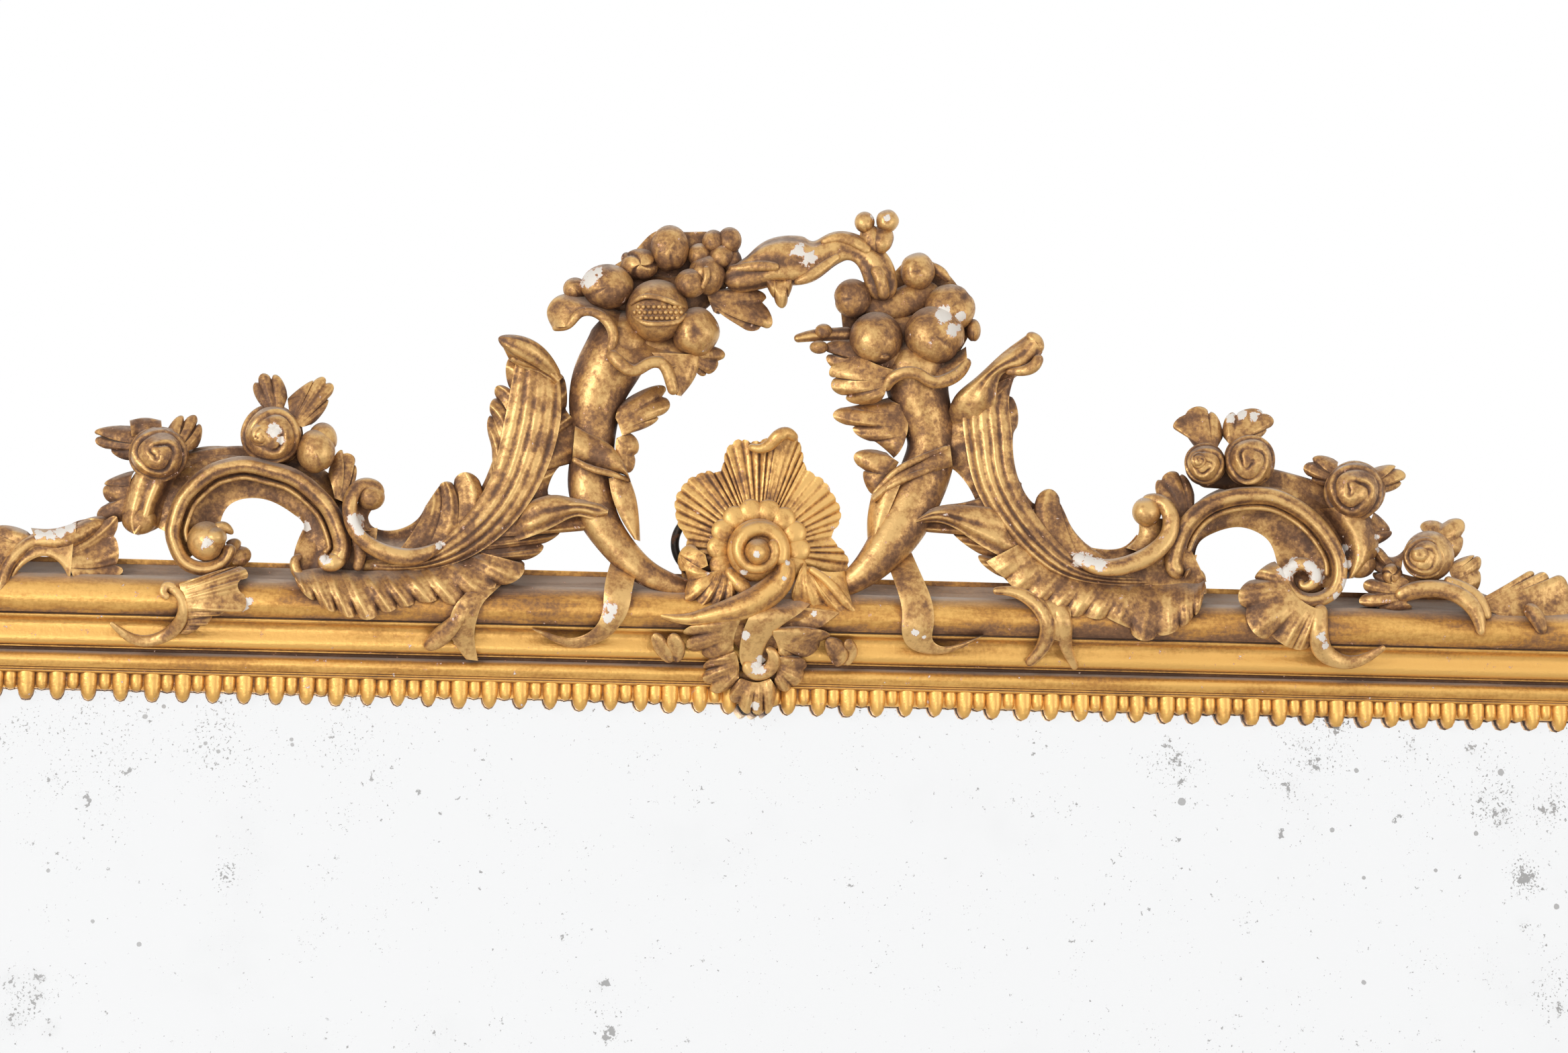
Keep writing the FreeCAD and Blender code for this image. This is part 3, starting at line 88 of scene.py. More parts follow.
@dataclass(frozen=True)
class View:
    """The viewpoint that the carvings were traced from; the camera stands there.

    A camera with no roll stands to the left of the mirror and below its crest.
    """

    yaw_degrees: float = 9.8
    pitch_degrees: float = 9.9
    focal_pixels: float = 5720.0
    distance_mm: float = 2200.0
    image_pixels: tuple[int, int] = (2334, 1568)
    rail_pixel: tuple[float, float] = (1126.0, 860.8)
    sensor_mm: float = 36.0

    def axes(self) -> tuple[Array, Array, Array]:
        """Return the unit directions right, up and ahead of the camera."""
        yaw, pitch = math.radians(self.yaw_degrees), math.radians(self.pitch_degrees)
        ahead = np.array([math.sin(yaw) * math.cos(pitch), math.cos(yaw) * math.cos(pitch), math.sin(pitch)])
        right = np.array([math.cos(yaw), -math.sin(yaw), 0.0])
        return right, np.cross(right, ahead), ahead

    def lines(self, pixels: Array) -> Array:
        """Return the direction of each pixel's line of sight, one unit deep.

        Args:
            pixels: places in the picture, shape (..., 2).
        Returns:
            Directions, shape (..., 3): ahead plus the pixel's share of right and down.
        """
        right, up, ahead = self.axes()
        shares = (pixels - np.array(self.image_pixels) / 2) / self.focal_pixels
        return ahead + shares[..., :1] * right - shares[..., 1:2] * up

    def eye(self) -> Array:
        """Return the viewpoint in millimetres: one distance back from the top rail's front edge."""
        low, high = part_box("top_rail")
        rail = np.array([0.0, low[1], high[2]]) / MM
        return rail - self.lines(np.array(self.rail_pixel)) * self.distance_mm

    def place(self, photo: Array) -> Array:
        """Turn photo space into metres.

        Args:
            photo: rows of pixel u, pixel v and front, shape (..., 3).
        Returns:
            Points in metres: each line of sight cut by the plane that lies its front before the wall.
        """
        eye, lines = self.eye(), self.lines(photo[..., :2])
        reach = (-photo[..., 2] - eye[1]) / lines[..., 1]
        return (eye + lines * reach[..., None]) * MM

    @property
    def pixel_mm(self) -> float:
        """Width of one pixel at the mirror, in millimetres."""
        return self.distance_mm / self.focal_pixels

    def camera(self) -> None:
        """Set up the camera at the viewpoint."""
        right, up, ahead = self.axes()
        data = bpy.data.cameras.new("camera")
        data.sensor_width = self.sensor_mm
        data.lens = self.sensor_mm * self.focal_pixels / self.image_pixels[0]
        camera = bpy.data.objects.new("camera", data)
        turn = Matrix(np.stack([right, up, -ahead], axis=1).tolist())
        camera.matrix_world = Matrix.Translation((self.eye() * MM).tolist()) @ turn.to_4x4()
        bpy.context.scene.collection.objects.link(camera)
        bpy.context.scene.camera = camera


VIEW = View()


class Shader:
    """A node material under construction."""

    def __init__(self, name: str) -> None:
        """Start a material with one principled shader."""
        self.material = bpy.data.materials.new(name)
        self.material.use_nodes = True
        self.tree = self.material.node_tree
        self.surface = self.tree.nodes["Principled BSDF"]
        self.coords = self.add("ShaderNodeTexCoord").outputs["Object"]

    def add(self, kind: str, inputs: dict | None = None, **settings: object) -> bpy.types.Node:
        """Add a node.

        Args:
            kind: the node's type.
            inputs: values or sockets by input name or number.
            settings: properties of the node.
        Returns:
            The node.
        """
        node = self.tree.nodes.new(kind)
        for key, value in settings.items():
            setattr(node, key, value)
        for key, value in (inputs or {}).items():
            self.feed(node.inputs[key], value)
        return node

    def feed(self, socket: Socket, value: object) -> None:
        """Fill an input.

        Args:
            socket: the input.
            value: an output to link to it, or a constant.
        """
        if isinstance(value, Socket):
            self.tree.links.new(value, socket)
        else:
            socket.default_value = value

    def noise(self, scale: float, detail: float = 4.0, rough: float = 0.6,
              vector: Socket | None = None) -> Socket:
        """Return a noise value of so many waves a metre."""
        inputs = {"Vector": vector or self.coords, "Scale": scale, "Detail": detail, "Roughness": rough}
        return self.add("ShaderNodeTexNoise", inputs).outputs["Fac"]

    def sums(self, operation: str, first: object, second: object = 0.0) -> Socket:
        """Return a sum, product or other operation of two values."""
        return self.add("ShaderNodeMath", {0: first, 1: second}, operation=operation).outputs[0]

    def vector(self, operation: str, first: object, second: object, result: str) -> Socket:
        """Return the named result of an operation of two vectors."""
        return self.add("ShaderNodeVectorMath", {0: first, 1: second}, operation=operation).outputs[result]

    def ramp(self, value: object, low: float, high: float, start: float = 0.0, end: float = 1.0) -> Socket:
        """Map low..high smoothly to start..end and hold the ends."""
        inputs = {"Value": value, "From Min": low, "From Max": high, "To Min": start, "To Max": end}
        return self.add("ShaderNodeMapRange", inputs, interpolation_type="SMOOTHSTEP").outputs["Result"]

    def blend(self, share: object, first: object, second: object) -> Socket:
        """Return a colour between two colours."""
        return self.add("ShaderNodeMix", {0: share, 6: first, 7: second}, data_type="RGBA").outputs[2]

    def stops(self, value: Socket, colours: Sequence[tuple[float, tuple]]) -> Socket:
        """Return a colour from a row of stops.

        Args:
            value: the share that picks the colour.
            colours: positions from 0 to 1 with their colours.
        Returns:
            The colour between the two nearest stops.
        """
        node = self.add("ShaderNodeValToRGB", {"Fac": value})
        band = node.color_ramp.elements
        while len(band) < len(colours):
            band.new(0.5)
        for element, (position, colour) in zip(band, colours):
            element.position = position
            element.color = (*colour, 1.0)
        return node.outputs["Color"]

    def attribute(self, name: str) -> Socket:
        """Return a number stored on the mesh."""
        return self.add("ShaderNodeAttribute", attribute_name=name).outputs["Fac"]

    def axis_z(self, vector: Socket) -> Socket:
        """Return the upward part of a vector."""
        return self.add("ShaderNodeSeparateXYZ", {0: vector}).outputs["Z"]

    def bump(self, height: Socket, strength: float, depth: float) -> None:
        """Roughen the surface by a height, depth in metres."""
        node = self.add("ShaderNodeBump", {"Height": height, "Strength": strength, "Distance": depth})
        self.feed(self.surface.inputs["Normal"], node.outputs["Normal"])

    def surface_of(self, colour: Socket, metallic: Socket | None, roughness: Socket) -> None:
        """Feed the principled shader.

        Args:
            colour: its base colour.
            metallic: how far it is metal, or none.
            roughness: how blurred its reflections are.
        """
        self.feed(self.surface.inputs["Base Color"], colour)
        if metallic is not None:
            self.feed(self.surface.inputs["Metallic"], metallic)
        self.feed(self.surface.inputs["Roughness"], roughness)


@dataclass(frozen=True)
class Gilding:
    """Worn gold leaf on gesso: toning, painted shade and grime in hollows, dust on top, chips of bare gesso.
    """

    name: str = "crest_gilding"
    toning: tuple = (0.085, 0.036, 0.016)
    brown: tuple = (0.235, 0.108, 0.043)
    gold: tuple = (0.48, 0.245, 0.08)
    bright: tuple = (0.76, 0.47, 0.175)
    dust: tuple = (0.50, 0.40, 0.325, 1.0)
    gesso: tuple = (0.88, 0.82, 0.74, 1.0)
    bole: tuple = (0.62, 0.30, 0.17, 1.0)
    shine: float = 0.5
    base: float = 0.60
    mottling: float = 0.75
    # Strength of the darkening in hollows and recesses: painted shade, partly grime.
    shade_and_grime: float = 0.55
    stretch: tuple = (1.0, 1.0, 1.0)
    dust_above: float = 9.0
    dust_share: float = 0.85
    dust_edge_m: float = 0.003
    patch_waves: float = 17.0
    mottle_waves: float = 85.0
    speck_waves: float = 420.0
    chip_waves: float = 190.0
    shade_reach_m: float = 0.016
    pit_depth_m: float = 0.0012

    def material(self) -> Material:
        """Build the node material.

        Returns:
            Gold that runs from toning to bright by patches, painted shade and grime in hollows, and edges lit
            as painted highlight and wear, under dust and chips.
        """
        make = Shader(self.name)
        where = make.vector("MULTIPLY", make.coords, self.stretch, "Vector")
        patches = make.noise(self.patch_waves, 4, 0.6, where)
        mottle = make.noise(self.mottle_waves, 5, 0.68, where)
        speck = make.noise(self.speck_waves, 3, 0.6)
        # Ambient occlusion and the shading stored on each point darken the colour in hollows, in recesses and
        # between parts: painted shade, partly grime.
        shade = make.add("ShaderNodeAmbientOcclusion", {"Distance": self.shade_reach_m}, samples=6)
        closed = make.sums("MULTIPLY", make.sums("SUBTRACT", 1.0, shade.outputs["AO"]), 0.75)
        recess_shade_and_grime = make.sums("ADD", make.sums("MULTIPLY", make.attribute("painted_shading_and_grime"), 0.5), closed)
        tone = make.sums("ADD", make.ramp(patches, 0.36, 0.64, -0.17, 0.17),
                         make.ramp(mottle, 0.34, 0.66, -0.24, 0.24))
        tone = make.sums("ADD", tone, make.ramp(speck, 0.36, 0.64, -0.10, 0.10))
        tone = make.sums("MULTIPLY", tone, self.mottling)
        tone = make.sums("SUBTRACT", tone, make.sums("MULTIPLY", recess_shade_and_grime, self.shade_and_grime))
        geometry = make.add("ShaderNodeNewGeometry").outputs
        # Pointiness lightens sharp edges as painted highlight and rubbed gilding, and darkens creases as
        # painted shade.
        tone = make.sums("ADD", tone, make.ramp(geometry["Pointiness"], 0.42, 0.58, -0.22, 0.22))
        tone = make.ramp(make.sums("ADD", tone, self.base), 0.0, 1.0)
        leaf = [(0.0, self.toning), (0.3, self.brown), (0.58, self.gold), (0.92, self.bright)]
        up = make.axis_z(geometry["Normal"])
        ledge = make.ramp(make.axis_z(make.coords), self.dust_above, self.dust_above + self.dust_edge_m)
        settled = make.sums("MULTIPLY", make.ramp(up, 0.1, 0.3), ledge)
        settled = make.sums("MAXIMUM", settled, make.ramp(up, 0.55, 0.9))
        dusty = make.sums("MULTIPLY", settled, make.ramp(mottle, 0.3, 0.62, 0.5, 1.0))
        dusty = make.sums("MULTIPLY", dusty, self.dust_share)
        colour = make.blend(dusty, make.stops(tone, leaf), self.dust)
        ragged = make.sums("SUBTRACT", make.noise(self.chip_waves, 4, 0.7), 0.5)
        chip = make.sums("ADD", make.attribute("gesso"), make.sums("MULTIPLY", ragged, 2.4))
        colour = make.blend(make.ramp(chip, 0.38, 0.44), colour, self.bole)
        bare = make.ramp(chip, 0.46, 0.52)
        clean = make.sums("MULTIPLY", make.sums("SUBTRACT", 1.0, dusty), make.sums("SUBTRACT", 1.0, bare))
        metallic = make.sums("MULTIPLY", make.ramp(tone, 0.25, 0.8, 0.0, self.shine), clean)
        make.surface_of(make.blend(bare, colour, self.gesso), metallic,
            make.ramp(tone, 0.2, 0.9, 0.62, 0.36))
        pitted = make.sums("ADD", make.sums("MULTIPLY", speck, 0.5), make.sums("MULTIPLY", mottle, 1.0))
        make.bump(make.sums("SUBTRACT", pitted, make.sums("MULTIPLY", bare, 1.2)), 0.35, self.pit_depth_m)
        return make.material


@dataclass(frozen=True)
class SilveredGlass:
    """Old silvered plate: a hazy reflection with grey foxing specks that gather in clouds."""

    silver: tuple = (0.93, 0.935, 0.94, 1.0)
    fox: tuple = (0.24, 0.235, 0.23, 1.0)
    haze: float = 0.06
    dust: Rows = ((110, 1110, 190, 0.5), (330, 1075, 170, 0.45), (520, 1070, 150, 0.35),
        (338, 1303, 36, 1.0), (45, 1485, 80, 0.8), (1748, 1140, 90, 0.7), (1950, 1120, 140, 0.6),
        (2110, 1120, 120, 0.5), (2230, 1180, 110, 0.7), (2310, 1190, 90, 0.8), (2268, 1305, 55, 1.0),
        (2318, 1470, 70, 0.6), (900, 1510, 70, 0.5))
    blots: Rows = ((1737, 1106, 22, 1.0), (1750, 1137, 26, 1.0), (1757, 1163, 18, 1.0),
        (1754, 1245, 24, 0.7), (1944, 1109, 22, 0.9), (1958, 1137, 24, 0.9), (1987, 1080, 30, 0.9),
        (1919, 1169, 20, 0.8), (1906, 1240, 20, 0.8), (2081, 1215, 20, 0.9), (2103, 1112, 24, 0.8),
        (2190, 1119, 26, 0.8), (2206, 1187, 26, 0.8), (2234, 1217, 26, 1.0), (2303, 1200, 40, 0.7),
        (2269, 1306, 30, 1.0), (2266, 1375, 24, 0.7), (2322, 1500, 26, 0.8), (218, 1066, 18, 0.8),
        (80, 1160, 26, 0.7), (125, 1195, 28, 0.7), (190, 1145, 24, 0.6), (59, 1455, 20, 0.9),
        (55, 1482, 22, 1.0), (76, 1535, 24, 1.0), (16, 1458, 22, 0.8), (22, 1520, 24, 0.7),
        (620, 1181, 16, 0.7), (898, 1466, 22, 0.8), (905, 1540, 30, 0.8))
    dots: Rows = ((207, 1406, 5), (138, 1372, 4), (216, 1067, 5), (244, 1052, 4), (306, 1107, 4),
        (325, 1119, 4), (298, 1112, 3), (434, 1101, 4), (435, 1109, 4), (72, 1296, 4), (2030, 1463, 5),
        (2030, 1307, 4), (2137, 1296, 4), (2234, 1150, 7), (1759, 1194, 8), (1983, 1236, 5), (2019, 1147, 5),
        (2197, 1241, 5), (2317, 1350, 6))
    plate_front: float = 20.0
    blot_waves: float = 240.0
    fine_waves: float = 640.0
    dot_waves: float = 420.0

    def material(self) -> Material:
        """Build the node material.

        Returns:
            Silver under specks: large ones near the blots, fine ones in the dust, and single dots.
        """
        make = Shader("old_silvering")
        patches = make.sums("MULTIPLY", make.noise(40, 4, 0.65), 0.30)
        near = self.nearness(make, self.blots, 0.0)
        clouds = make.sums("ADD", make.sums("MULTIPLY", near, 0.22), patches)
        large = make.sums("ADD", make.noise(self.blot_waves, 4, 0.65), clouds)
        fine = make.sums("MULTIPLY", self.nearness(make, self.dust, 0.0), 0.19)
        small = make.sums("ADD", make.noise(self.fine_waves, 3, 0.6), make.sums("ADD", fine, patches))
        dots = self.nearness(make, [(*dot, 1.0) for dot in self.dots], 0.5)
        ragged = make.sums("MULTIPLY", make.noise(self.dot_waves, 3, 0.6), 1.6)
        dots = make.ramp(make.sums("ADD", dots, ragged), 1.25, 1.45, 0.0, 0.85)
        fox = make.sums("MAXIMUM", make.ramp(large, 0.82, 0.87), make.ramp(small, 0.85, 0.90))
        fox = make.sums("MAXIMUM", fox, dots)
        cloudy = make.sums("ADD", make.noise(12, 3), make.sums("MULTIPLY", near, 0.25))
        share = make.sums("MAXIMUM", make.sums("MULTIPLY", fox, 0.75),
            make.ramp(cloudy, 0.55, 0.9, 0.0, 0.06))
        make.surface_of(make.blend(share, self.silver, self.fox), make.ramp(fox, 0.0, 1.0, 0.9, 0.2),
                        make.ramp(share, 0.0, 0.8, self.haze, 0.6))
        return make.material

    def nearness(self, make: Shader, rows: Rows, core: float) -> Socket:
        """Return how near a point lies to the nearest of many places on the plate.

        Args:
            make: the material being built.
            rows: pixel u, pixel v, radius in pixels and weight of each place.
            core: share of the radius that counts as the place itself.
        Returns:
            The weight in a core, falling to 0 at the radius.
        """
        near: Socket | float = 0.0
        for u, v, radius, weight in rows:
            spot = VIEW.place(np.array([u, v, self.plate_front]))
            reach = radius * VIEW.pixel_mm * MM
            away = make.vector("DISTANCE", make.coords, spot, "Value")
            near = make.sums("MAXIMUM", near, make.ramp(away, core * reach, reach, weight, 0.0))
        return near


@dataclass(frozen=True)
class BareWood:
    """Aged softwood of the carcass and boards, with grain along one axis and dust."""

    name: str
    grain: tuple
    cut: float = 0.0
    light: tuple = (0.40, 0.27, 0.155, 1.0)
    dark: tuple = (0.20, 0.12, 0.065, 1.0)

    def material(self) -> Material:
        """Build the node material.

        Returns:
            Wood with grain that is stretched along one axis, and stains.
        """
        make = Shader(self.name)
        mapped = {"Vector": make.coords, "Location": (self.cut, 0, self.cut), "Scale": self.grain}
        stretched = make.add("ShaderNodeMapping", mapped).outputs["Vector"]
        rings = make.noise(1.0, 6, 0.62, stretched)
        stain = make.noise(6, 4)
        share = make.ramp(make.sums("ADD", rings, make.sums("MULTIPLY", stain, 0.5)), 0.5, 1.0)
        make.surface_of(make.blend(share, self.dark, self.light), None,
            make.ramp(rings, 0.2, 0.8, 0.85, 0.7))
        make.bump(rings, 0.4, 0.0006)
        return make.material


@dataclass(frozen=True)
class ForgedIron:
    """Dark forged iron with a little rust."""

    dark: tuple = (0.045, 0.04, 0.037, 1.0)
    rust: tuple = (0.17, 0.075, 0.035, 1.0)

    def material(self) -> Material:
        """Build the node material.

        Returns:
            Dark iron with patches of rust.
        """
        make = Shader("forged_iron")
        scale = make.noise(160, 5, 0.65)
        share = make.ramp(scale, 0.52, 0.7)
        make.surface_of(make.blend(share, self.dark, self.rust), make.ramp(share, 0.0, 1.0, 0.8, 0.1),
                        make.ramp(share, 0.0, 1.0, 0.5, 0.85))
        make.bump(scale, 0.5, 0.0008)
        return make.material


def smooth(rows: Rows, shares: Array | int) -> Array:
    """Run a natural cubic spline through rows of numbers.

    The first two columns are a place. Knots are spaced by the square root of the steps between places,
    which keeps tight bends from overshooting, and every column follows the same knots.

    Args:
        rows: control rows.
        shares: how many even samples, or the shares of the way from 0 to 1.
    Returns:
        Samples of all the columns.
    """
    table = np.asarray(rows, dtype=float)
    shares = np.linspace(0, 1, shares) if isinstance(shares, int) else shares
    steps = np.sqrt(np.linalg.norm(np.diff(table[:, :2], axis=0), axis=1)) + 1e-9
    knots = np.concatenate([[0.0], np.cumsum(steps)])
    matrix, right = np.eye(len(table)), np.zeros_like(table)
    inner = np.arange(1, len(table) - 1)
    matrix[inner, inner - 1] = steps[:-1]
    matrix[inner, inner] = 2 * (steps[:-1] + steps[1:])
    matrix[inner, inner + 1] = steps[1:]
    right[1:-1] = 6 * np.diff(np.diff(table, axis=0) / steps[:, None], axis=0)
    bend = np.linalg.solve(matrix, right)
    at = shares * knots[-1]
    k = np.clip(np.searchsorted(knots, at, side="right") - 1, 0, len(table) - 2)
    span, left, past = steps[k][:, None], (knots[k + 1] - at)[:, None], (at - knots[k])[:, None]
    curved = (bend[k] * left ** 3 + bend[k + 1] * past ** 3) / (6 * span)
    before, after = table[k] / span - bend[k] * span / 6, table[k + 1] / span - bend[k + 1] * span / 6
    return curved + before * left + after * past


def ends_dense(count: int) -> Array:
    """Return shares from 0 to 1 that crowd towards both ends, as half a cosine wave does."""
    return (1 - np.cos(np.linspace(0, math.pi, count))) / 2


def lengthways(places: Array) -> Array:
    """Return the unit direction along a path in the picture."""
    along = np.gradient(places, axis=0)
    return along / (np.linalg.norm(along, axis=1, keepdims=True) + 1e-9)


def sideways(places: Array) -> Array:
    """Return the unit direction across a path in the picture: its tangent turned a quarter."""
    along = lengthways(places)
    return np.stack([-along[:, 1], along[:, 0]], axis=1)


def quads(index: Array) -> Array:
    """Join a grid of points, or many grids at once.

    Args:
        index: the points' numbers; the grid is joined round its last direction.
    Returns:
        Rows of four point numbers, one for each face.
    """
    index = np.concatenate([index, index[..., :1]], axis=-1)
    corners = [index[..., :-1, :-1], index[..., :-1, 1:], index[..., 1:, 1:], index[..., 1:, :-1]]
    return np.stack(corners, axis=-1).reshape(-1, 4)


class Piece:
    """One visible piece: closed surfaces gathered into a mesh that stands for CAD nodes.

    A chip of bare gesso is a pixel u, a pixel v and a radius in pixels.
    """

    weld_m: float = 2e-5
    shortest_m: float = 1e-6
    chips: Array = np.array([(485, 833, 9), (457, 785, 8), (308, 808, 9), (528, 775, 13), (534, 790, 9),
        (655, 812, 8), (408, 640, 13), (418, 655, 8), (1606, 832, 14), (1622, 835, 14), (1637, 842, 13),
        (2003, 815, 8), (2006, 840, 8), (2002, 870, 8), (1990, 888, 8), (1912, 854, 14), (1925, 842, 14),
        (1948, 842, 13), (1960, 856, 13), (2049, 800, 6), (2050, 818, 5), (1832, 622, 9), (1848, 618, 10),
        (1866, 622, 9), (1880, 612, 6), (1108, 852, 6), (1172, 838, 5), (1168, 862, 5), (1127, 825, 7),
        (1110, 945, 8), (1128, 995, 13), (1132, 982, 8), (1212, 913, 6), (1125, 1050, 7), (908, 905, 13),
        (905, 922, 10), (1362, 942, 7), (1376, 948, 5), (1190, 372, 12), (1205, 384, 13), (1180, 378, 7),
        (880, 412, 14), (872, 422, 9), (890, 404, 8), (1405, 470, 16), (1420, 490, 13), (1430, 470, 9),
        (1968, 950, 9), (1974, 962, 6), (1321, 325, 7), (1300, 322, 5), (58, 796, 10), (74, 796, 11),
        (90, 792, 11), (104, 786, 10)])

    def __init__(self, name: str) -> None:
        """Start an empty piece."""
        self.name = name
        self.points: list[Array] = []
        self.faces: list[Array] = []
        self.painted_shading_and_grime: list[Array] = []
        self.gesso: list[Array] = []
        self.count = 0

    def take(self, points: Array, faces: Array, painted_shading_and_grime: Array, gesso: Array) -> None:
        """Add points.

        Args:
            points: places in metres, shape (..., 3).
            faces: rows of four of these points' numbers.
            painted_shading_and_grime: how dark each point is painted as shade, partly grime; values below 0
                paint a highlight.
            gesso: how deep in a chip each point lies.
        """
        self.points.append(points.reshape(-1, 3))
        self.faces.append(faces + self.count)
        self.painted_shading_and_grime.append(painted_shading_and_grime.ravel())
        self.gesso.append(gesso.ravel())
        self.count += self.points[-1].shape[0]

    def chipped(self, photo: Array) -> Array:
        """Return how deep places lie in the nearest chip: 1 in its middle, 0 at its rim and beyond."""
        away = np.linalg.norm(photo[..., None, :2] - self.chips[:, :2], axis=-1) / self.chips[:, 2]
        return np.clip(CHIP_RIM - away, 0, 1).max(axis=-1)

    def grid(self, photo: Array, painted_shading_and_grime: Array) -> None:
        """Add a grid of points in photo space, joined round its second direction."""
        index = np.arange(photo[..., 0].size).reshape(photo.shape[:2])
        self.take(VIEW.place(photo), quads(index), painted_shading_and_grime, self.chipped(photo))

    def sheet(self, front: Array, painted_shading_and_grime: Array, thickness: Array | float) -> None:
        """Add a closed sheet: a front grid, the same grid set back, and the strip round their border.

        Each row runs over the front and home over the back, and both ends close on the middle between them.

        Args:
            front: the front grid in photo space.
            painted_shading_and_grime: how dark each of its points is painted as shade, partly grime; the back
                is painted fully dark as shade.
            thickness: millimetres from front to back.
        """
        back = front.copy()
        back[..., 2] -= thickness
        around = np.concatenate([front, back[:, ::-1]], axis=1)
        shade = np.concatenate([painted_shading_and_grime, np.ones_like(painted_shading_and_grime)], axis=1)
        middle = (front[[0, -1]] + back[[0, -1]]) / 2
        caps = np.concatenate([middle, middle[:, ::-1]], axis=1)
        around = np.concatenate([caps[:1], around, caps[1:]], axis=0)
        self.grid(around, np.concatenate([shade[:1], shade, shade[-1:]], axis=0))

    def roll(self, rows: Rows, count: int = 48, ring: int = 18, depth: float = 1.0, flutes: int = 0,
             groove: float = 0.0, twist: float = 0.0) -> None:
        """Add a round roll along a path.

        A ring of radius r turns about each place of the path, r across the view and r times depth to the
        front. Flutes press waves into it. At both ends r falls to 0 in a quarter circle.

        Args:
            rows: pixel u, pixel v, radius in pixels and front in millimetres.
            count: steps along it.
            ring: steps round it.
            depth: its radius to the front as a share of that across.
            flutes: how many waves lie round it.
            groove: their depth as a share of the radius.
            twist: how far they turn for each pixel along it, in radians.
        """
        path = smooth(rows, ends_dense(count))
        walked = np.concatenate([[0.0], np.cumsum(np.linalg.norm(np.diff(path[:, :2], axis=0), axis=1))])
        to_end = np.minimum(walked, walked[-1] - walked)
        radius = np.maximum(path[:, 2], 0.2)
        radius = radius * np.sqrt(1 - (1 - np.clip(to_end / radius, 0, 1)) ** 2)
        angle = np.linspace(0, 2 * math.pi, ring, endpoint=False)
        wave = np.cos(flutes * angle[None, :] + twist * walked[:, None]) if flutes else np.zeros(
            (count, ring))
        swell = radius[:, None] * (1 + groove * wave)
        photo = np.empty((count, ring, 3))
        across = sideways(path[:, :2])[:, None, :] * (swell * np.cos(angle))[..., None]
        photo[..., :2] = path[:, None, :2] + across
        photo[..., 2] = path[:, None, 3] + swell * np.sin(angle) * VIEW.pixel_mm * depth
        # Flute grooves are painted darker: painted shade, partly grime.
        self.grid(photo, np.clip(-wave, 0, 1) * (groove > 0))

    def patch(self, inner: Array, outer: Array, across: int, bulge: float, bow: float,
              wave: Array, flute: float, thickness: float, power: float, strands: float = 0.0,
              strand: float = 0.0) -> None:
        """Add a sheet ruled between two curves.

        Each rule runs from the inner curve to the outer one, bowed along the curves and swelling forward by
        bulge times 4t(1 - t). The wave, -1 in a groove and 1 on a crest, presses flutes that deepen as t to a
        power. Strands are broad ridges along the curves, parted by narrow grooves where the cosine of t,
        drifting a little along the way, comes near 1.

        Args:
            inner: pixel u, pixel v and front along the root.
            outer: the same along the edge.
            across: steps from root to edge.
            bulge: millimetres forward at the middle.
            bow: share of a rule's length.
            wave: one value for each rule.
            flute: depth of the flutes in millimetres.
            thickness: of the sheet, in millimetres.
            power: how late the flutes deepen.
            strands: how many ridges lie side by side.
            strand: their height in millimetres.
        """
        t = np.linspace(0, 1, across)[None, :, None]
        reach = outer - inner
        bowed = bow * np.linalg.norm(reach[:, :2], axis=1, keepdims=True)
        bowed = bowed * lengthways((inner + outer)[:, :2] / 2)
        front = inner[:, None, :] + reach[:, None, :] * t
        front[..., :2] += bowed[:, None, :] * 4 * t * (1 - t)
        front[..., 2] += bulge * (4 * t * (1 - t))[..., 0]
        grown = t[..., 0] ** power
        front[..., 2] += flute * wave[:, None] * grown
        # Flute grooves are painted darker as they deepen: painted shade, partly grime.
        painted_shading_and_grime = np.clip(0.5 - 0.5 * wave[:, None], 0, 1) * grown * min(1.0, flute / 2.4)
        if strands:
            s = np.linspace(0, 1, len(inner))[:, None]
            drift = t[..., 0] + 0.035 * np.sin(5 * s + 4 * t[..., 0])
            ridge = 1 - 2 * np.abs(np.cos(math.pi * strands * drift)) ** 3
            fade = np.minimum(1, 5 * s * (1.02 - s)) * (0.75 + 0.25 * np.sin(7 * s + 9 * t[..., 0]))
            front[..., 2] += strand * ridge * fade
            # Grooves between strands are painted darker too: painted shade, partly grime.
            painted_shading_and_grime = np.maximum(painted_shading_and_grime, np.clip(-0.7 * ridge, 0, 1) * fade)
        self.sheet(front, painted_shading_and_grime, thickness)

    def bulb(self, centre: Sequence[float], radius: Sequence[float], depth: float,
             ripple: Array) -> None:
        """Add a rounded body: a ball whose pole faces the front, its radius scaled by 1 plus the ripple.

        Args:
            centre: pixel u, pixel v and front.
            radius: pixels across and down.
            depth: millimetres from the middle to the front.
            ripple: by tilt from the front and turn about it.
        """
        tilt = np.linspace(0, math.pi, ripple.shape[0])[:, None]
        turn = np.linspace(0, 2 * math.pi, ripple.shape[1], endpoint=False)[None, :]
        swell = 1 + ripple
        photo = np.empty((*ripple.shape, 3))
        photo[..., 0] = centre[0] + radius[0] * swell * np.sin(tilt) * np.cos(turn)
        photo[..., 1] = centre[1] + radius[1] * swell * np.sin(tilt) * np.sin(turn)
        photo[..., 2] = centre[2] + depth * swell * np.cos(tilt)
        # Dips of the ripple are painted darker: painted shade, partly grime.
        self.grid(photo, np.clip(1 - swell, 0, 0.1) * 8)

